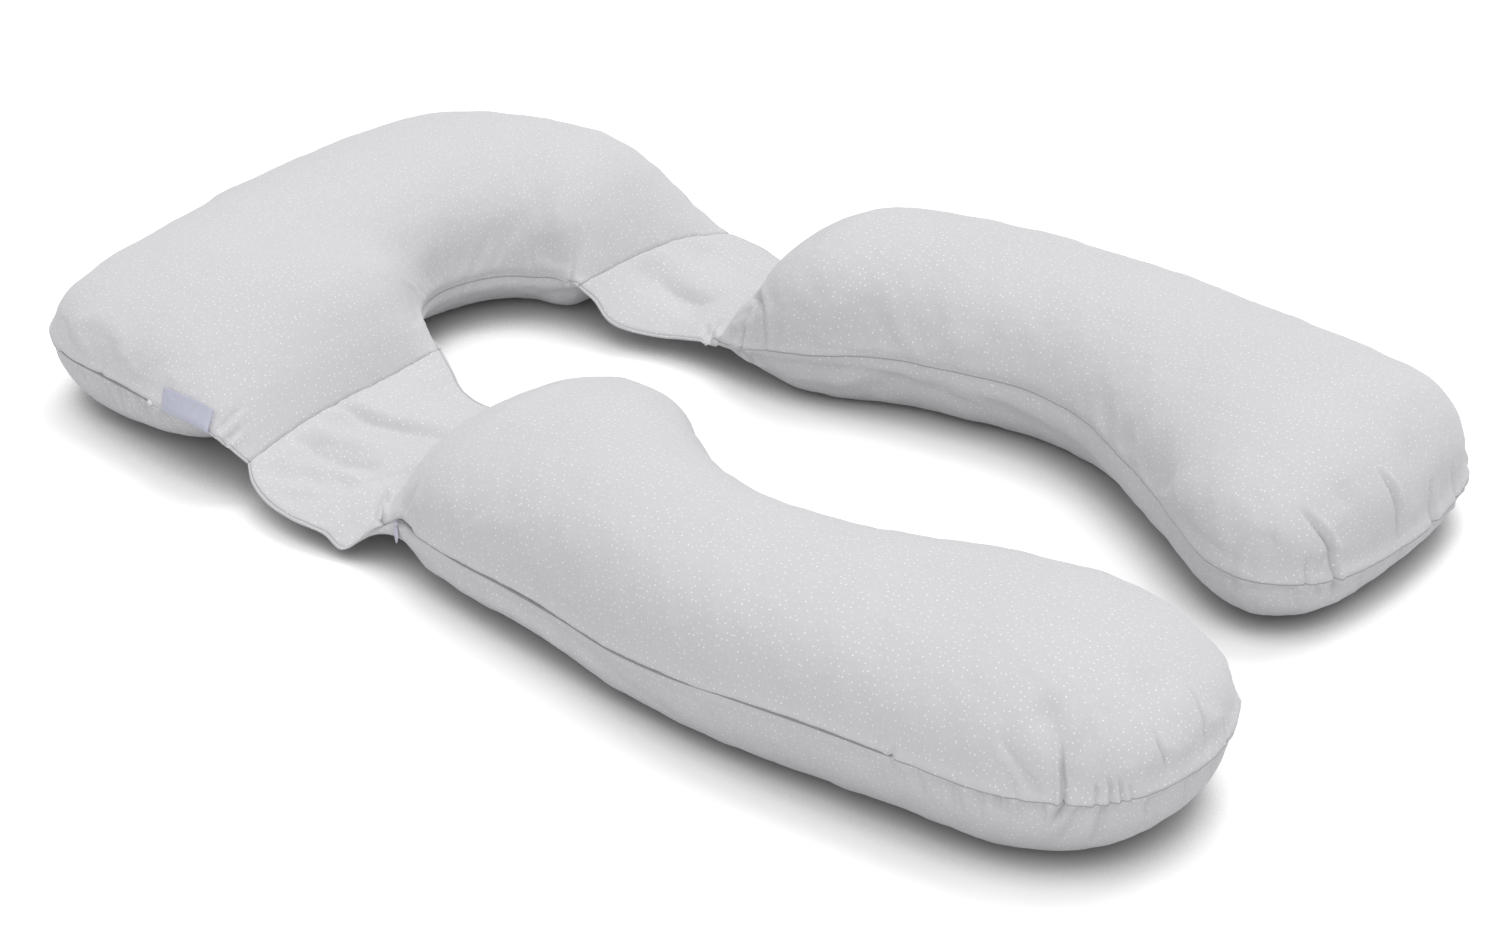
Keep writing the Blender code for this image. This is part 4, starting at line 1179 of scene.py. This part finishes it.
def make_pull():
    """Half widths along the tab: the slider, a thin neck, then a leaf that ends round."""
    share = np.linspace(0.0, 1.0, 90)
    leaf = np.sin(np.pi * np.clip((share - 0.22) / 0.78, 0, 1) ** 0.75) ** 0.6
    slider = np.clip(1 - np.abs(share - 0.10) / 0.11, 0, 1) ** 0.35
    half = PULL_WIDTH / 2 * np.maximum.reduce([0.85 * leaf, 0.72 * slider, 0.20 * (share < 0.3) * (share > 0.0)])
    half = np.maximum(half, 0.00002)
    thick = PULL_DEPTH / 2 * np.clip(np.maximum(leaf * 0.9, slider * 1.25), 0.05, 1.25)
    thick = np.where(half < 0.0001, 0.00002, thick)
    seat = arm_path[0] + np.array([0.0, -0.003 - PIECE_GAP / 2, 0.0015]) + arm_side[0] * 0.0024 - PLAN_MIDDLE
    drop = np.stack([0 * share, 0 * share, -share * PULL_LENGTH], axis=1)
    middle = seat + drop
    run = np.array([0.0, 1.0, 0.0])
    angle = np.linspace(0, 2 * np.pi, 24, endpoint=False)
    ring = (
        middle[:, None, :]
        + arm_side[0] * (np.sin(angle)[None, :, None] * thick[:, None, None])
        + run * (np.cos(angle)[None, :, None] * half[:, None, None])
    )
    count, sides = ring.shape[:2]
    number = np.arange(count * sides).reshape(count, sides)
    after = np.roll(number, -1, axis=1)
    quads = np.stack([number[:-1], number[1:], after[1:], after[:-1]], axis=-1).reshape(-1, 4)
    tips = np.array([count * sides, count * sides + 1])
    threes = np.concatenate([
        np.stack([number[0], after[0], np.full(sides, tips[0])], axis=1),
        np.stack([after[-1], number[-1], np.full(sides, tips[1])], axis=1),
    ])
    points = np.concatenate([ring.reshape(-1, 3), middle[:1], middle[-1:]])
    face = np.cross(points[quads[:, 2]] - points[quads[:, 0]], points[quads[:, 3]] - points[quads[:, 1]])
    if (face * (points[quads].mean(axis=1) - middle.mean(axis=0))).sum() < 0:
        quads = quads[:, ::-1]
        threes = threes[:, ::-1]
    metal = simple_finish("pull_enamel", (0.52, 0.52, 0.62), 0.35, 300.0, 0.0001)
    thing = show("arm_zip_tab", mesh_from("arm_zip_tab", points, quads, threes), metal)
    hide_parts("arm_zip_pull")
    print("puller", round(1000 * PULL_LENGTH), "mm long")


make_pull()

# %% [markdown]
# The care label is a loop of satin ribbon: both ends are sewn into the side seam, and the fold
# stands up against the cushion.  Its lettering is left out.  The ribbon is one thin strip that
# goes up, turns over and comes down again, carried along the seam.

# %% Label
LABEL_REACH = (0.400, 0.348)
LABEL_HEIGHT = 0.0175
LABEL_LEAN = 0.010
RIBBON = 0.0005


def label_finish():
    """Satin: pale lavender with a fine thread along the ribbon and a soft gloss."""
    material = simple_finish("label_satin", (0.47, 0.48, 0.57), 0.42, 1200.0, 0.00012, 0.3)
    return material


def make_label():
    """The ribbon's path is a narrow upright loop; across it the loop leans and curls a little."""
    at = np.linspace(0.0, spine_knots(HEAD)[-1] * 0.35, 6000)
    found = spline(HEAD, spine_knots(HEAD), at)
    picks = np.interp(np.linspace(LABEL_REACH[1], LABEL_REACH[0], 60), found[:, 1], at)
    found = spline(HEAD, spine_knots(HEAD), picks)
    seam = found[:, 0:3]
    spine = (found[:, 0:3] + found[:, 3:6]) / 2
    share = np.linspace(0.0, 0.6, 200)
    top = half_pouch(seam, spine, head_fill(picks), found[:, 6], found[:, 7], picks, share, HEAD_FOLDS, 1)
    run = lengths(top, axis=1)
    rise = np.linspace(0.0, 1.0, 24)
    wanted = 0.0005 + LABEL_HEIGHT * rise
    level = np.stack([np.stack([np.interp(wanted, run[i], top[i, :, k]) for k in range(3)], axis=1) for i in range(len(seam))])
    normal = np.cross(np.gradient(level, axis=1), np.gradient(level, axis=0))
    normal /= np.linalg.norm(normal, axis=2)[:, :, None]
    normal *= np.sign(normal[:, -1:, 2:3])
    slide = np.gradient(level, axis=0)
    slide /= np.linalg.norm(slide, axis=2)[:, :, None]
    lean = LABEL_LEAN * rise[None, :, None] * slide
    across = np.linspace(-1, 1, len(seam))[:, None]
    lift = 0.0016 + rise[None, :] ** 2 * (0.0016 + 0.0022 * np.maximum(-across, 0.0) + 0.0006 * np.cos(3 * across))
    back = level + lean + normal * lift[:, :, None]
    front = level + lean + normal * (lift + 0.0012)[:, :, None]
    bend = (back[:, -1:] + front[:, -1:]) / 2 + np.array([0.0, 0.0, 0.0007])
    sheet = np.concatenate([back, bend, front[:, ::-1]], axis=1)
    square = np.cross(np.gradient(sheet, axis=1), np.gradient(sheet, axis=0))
    square /= np.maximum(np.linalg.norm(square, axis=2), 1e-9)[:, :, None]
    near = sheet - square * RIBBON / 2
    far = sheet + square * RIBBON / 2
    rows, columns = sheet.shape[:2]
    wide = np.concatenate([near, far[:, ::-1]], axis=1)
    number = np.arange(rows * 2 * columns).reshape(rows, 2 * columns)
    after = np.roll(number, -1, axis=1)
    quads = np.stack([number[:-1], number[1:], after[1:], after[:-1]], axis=-1).reshape(-1, 4)
    caps = []
    for row, flip in ((0, False), (-1, True)):
        line = number[row]
        a, b = line[: columns - 1], line[1:columns]
        c, d = line[::-1][1:columns], line[::-1][: columns - 1]
        ring = np.stack([a, b, c, d], axis=1)
        caps.append(ring[:, ::-1] if flip else ring)
    quads = np.concatenate([quads] + caps)
    points = wide.reshape(-1, 3) + np.array([0.0, PIECE_GAP / 2, 0.0]) - PLAN_MIDDLE
    a, b, c, d = (points[quads[:, k]] for k in range(4))
    volume = (np.cross(a, b) * c).sum() + (np.cross(a, c) * d).sum()
    if volume < 0:
        quads = quads[:, ::-1]
    mesh = mesh_from("side_label_ribbon", points, quads, np.zeros((0, 3), int))
    thing = show("side_label_ribbon", mesh, label_finish())
    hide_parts("side_label")


make_label()

# %% [markdown]
# The head's zip ends in a small bar of thread, a whitish lump of stitches at the seam.

# %% Thread bar
BAR_LENGTH = 0.0070
BAR_HALF = 0.0016


def make_bar():
    """A short swollen tube with lumps, laid along the seam at the zip's lower end."""
    share = np.linspace(0.0, 1.0, 60)
    start = head_path[-1] + np.array([0.0, PIECE_GAP / 2, 0.0]) - PLAN_MIDDLE
    along = head_path[-1] - head_path[-20]
    along /= np.linalg.norm(along)
    middle = start + along * (share[:, None] * BAR_LENGTH) + head_side[-1] * 0.0002
    lump = np.sin(np.pi * share) ** 0.5 * (1 + 0.18 * np.sin(share * 2 * np.pi * 7))
    lump = np.maximum(lump, 0.01)
    side = np.repeat(head_side[-1:], len(share), axis=0)
    points, quads, threes = tube(middle, side, BAR_HALF * lump, BAR_HALF * 1.2 * lump, 16)
    thread = simple_finish("bar_thread", (0.80, 0.80, 0.82), 0.7, 900.0, 0.0002, 0.2)
    thing = show("head_zip_bar", mesh_from("head_zip_bar", points, quads, threes), thread)


make_bar()

# %% [markdown]
# The pillow lies on a white floor in soft light.  A wide light above and behind casts the
# soft shade under the cushions, and the pale world fills it with a slightly cool tone.  The floor
# adds painted shadow: its colour is darker where the ambient occlusion node finds the pillow
# near.  Farther off it glows for the camera, painted light that keeps the open floor white.

# %% Floor and light
FLOOR_HALF = 9.0
SUN_POWER = 1.46
SUN_WIDTH = math.radians(38.0)
FILL_POWER = 0.78
FILL_WIDTH = math.radians(55.0)
ROOM_POWER = 0.63
PAINTED_FLOOR_GLOW = 0.42
PAINTED_SHADE_AND_GLOW_REACH = 0.10


def make_floor():
    mesh = bpy.data.meshes.new("floor")
    corners = [(-FLOOR_HALF, -FLOOR_HALF, 0), (FLOOR_HALF, -FLOOR_HALF, 0), (FLOOR_HALF, FLOOR_HALF, 0), (-FLOOR_HALF, FLOOR_HALF, 0)]
    mesh.from_pydata(corners, [], [(0, 1, 2, 3)])
    floor = bpy.data.objects.new("floor", mesh)
    paper = bpy.data.materials.new("white_paper")
    paper.use_nodes = True
    base = paper.node_tree.nodes["Principled BSDF"]
    base.inputs["Roughness"].default_value = 0.9
    base.inputs["Specular IOR Level"].default_value = 0.1
    tree = paper.node_tree
    # Painted contact shadow: the floor's colour darkens where the ambient occlusion node finds the pillow near.
    open_sky = node(tree, "ShaderNodeAmbientOcclusion", samples=8, in_Distance=PAINTED_SHADE_AND_GLOW_REACH)
    painted_contact_shadow = node(tree, "ShaderNodeMapRange", in_From_Min=0.20, in_From_Max=0.50, in_To_Min=0.46, in_To_Max=0.70)
    tree.links.new(open_sky.outputs["AO"], painted_contact_shadow.inputs["Value"])
    tree.links.new(painted_contact_shadow.outputs["Result"], base.inputs["Base Color"])
    # Painted light: away from the pillow the floor glows, for camera rays only.
    painted_glow = node(tree, "ShaderNodeMapRange", in_From_Min=0.34, in_From_Max=0.64, in_To_Max=PAINTED_FLOOR_GLOW)
    tree.links.new(open_sky.outputs["AO"], painted_glow.inputs["Value"])
    seen = node(tree, "ShaderNodeMath", operation="MULTIPLY")
    tree.links.new(painted_glow.outputs["Result"], seen.inputs[0])
    tree.links.new(node(tree, "ShaderNodeLightPath").outputs["Is Camera Ray"], seen.inputs[1])
    tree.links.new(seen.outputs["Value"], base.inputs["Emission Strength"])
    mesh.materials.append(paper)
    bpy.context.scene.collection.objects.link(floor)


def set_light():
    """A wide sun high above the far right side, a weak one from the front, and a pale room."""
    right, up, back = view_axes()
    away = Vector((-back.x, -back.y, 0.0)).normalized()
    lamps = (
        ("window", away * 0.62 + right * 0.34 + Vector((0, 0, 1.35)), SUN_POWER, SUN_WIDTH),
        ("front_fill", right * -0.10 - away * 1.00 + Vector((0, 0, 0.78)), FILL_POWER, FILL_WIDTH),
    )
    for name, toward, power, wide in lamps:
        lamp = bpy.data.lights.new(name, "SUN")
        lamp.energy = power
        lamp.angle = wide
        lamp.color = (1.0, 0.998, 0.990)
        thing = bpy.data.objects.new(name, lamp)
        thing.rotation_euler = toward.to_track_quat("Z", "Y").to_euler()
        bpy.context.scene.collection.objects.link(thing)
    world = bpy.data.worlds.new("soft_room")
    world.use_nodes = True
    world.node_tree.nodes["Background"].inputs["Color"].default_value = (0.978, 0.972, 1.0, 1.0)
    world.node_tree.nodes["Background"].inputs["Strength"].default_value = ROOM_POWER
    bpy.context.scene.world = world
    bpy.context.scene.view_settings.view_transform = "Standard"


make_floor()
set_light()
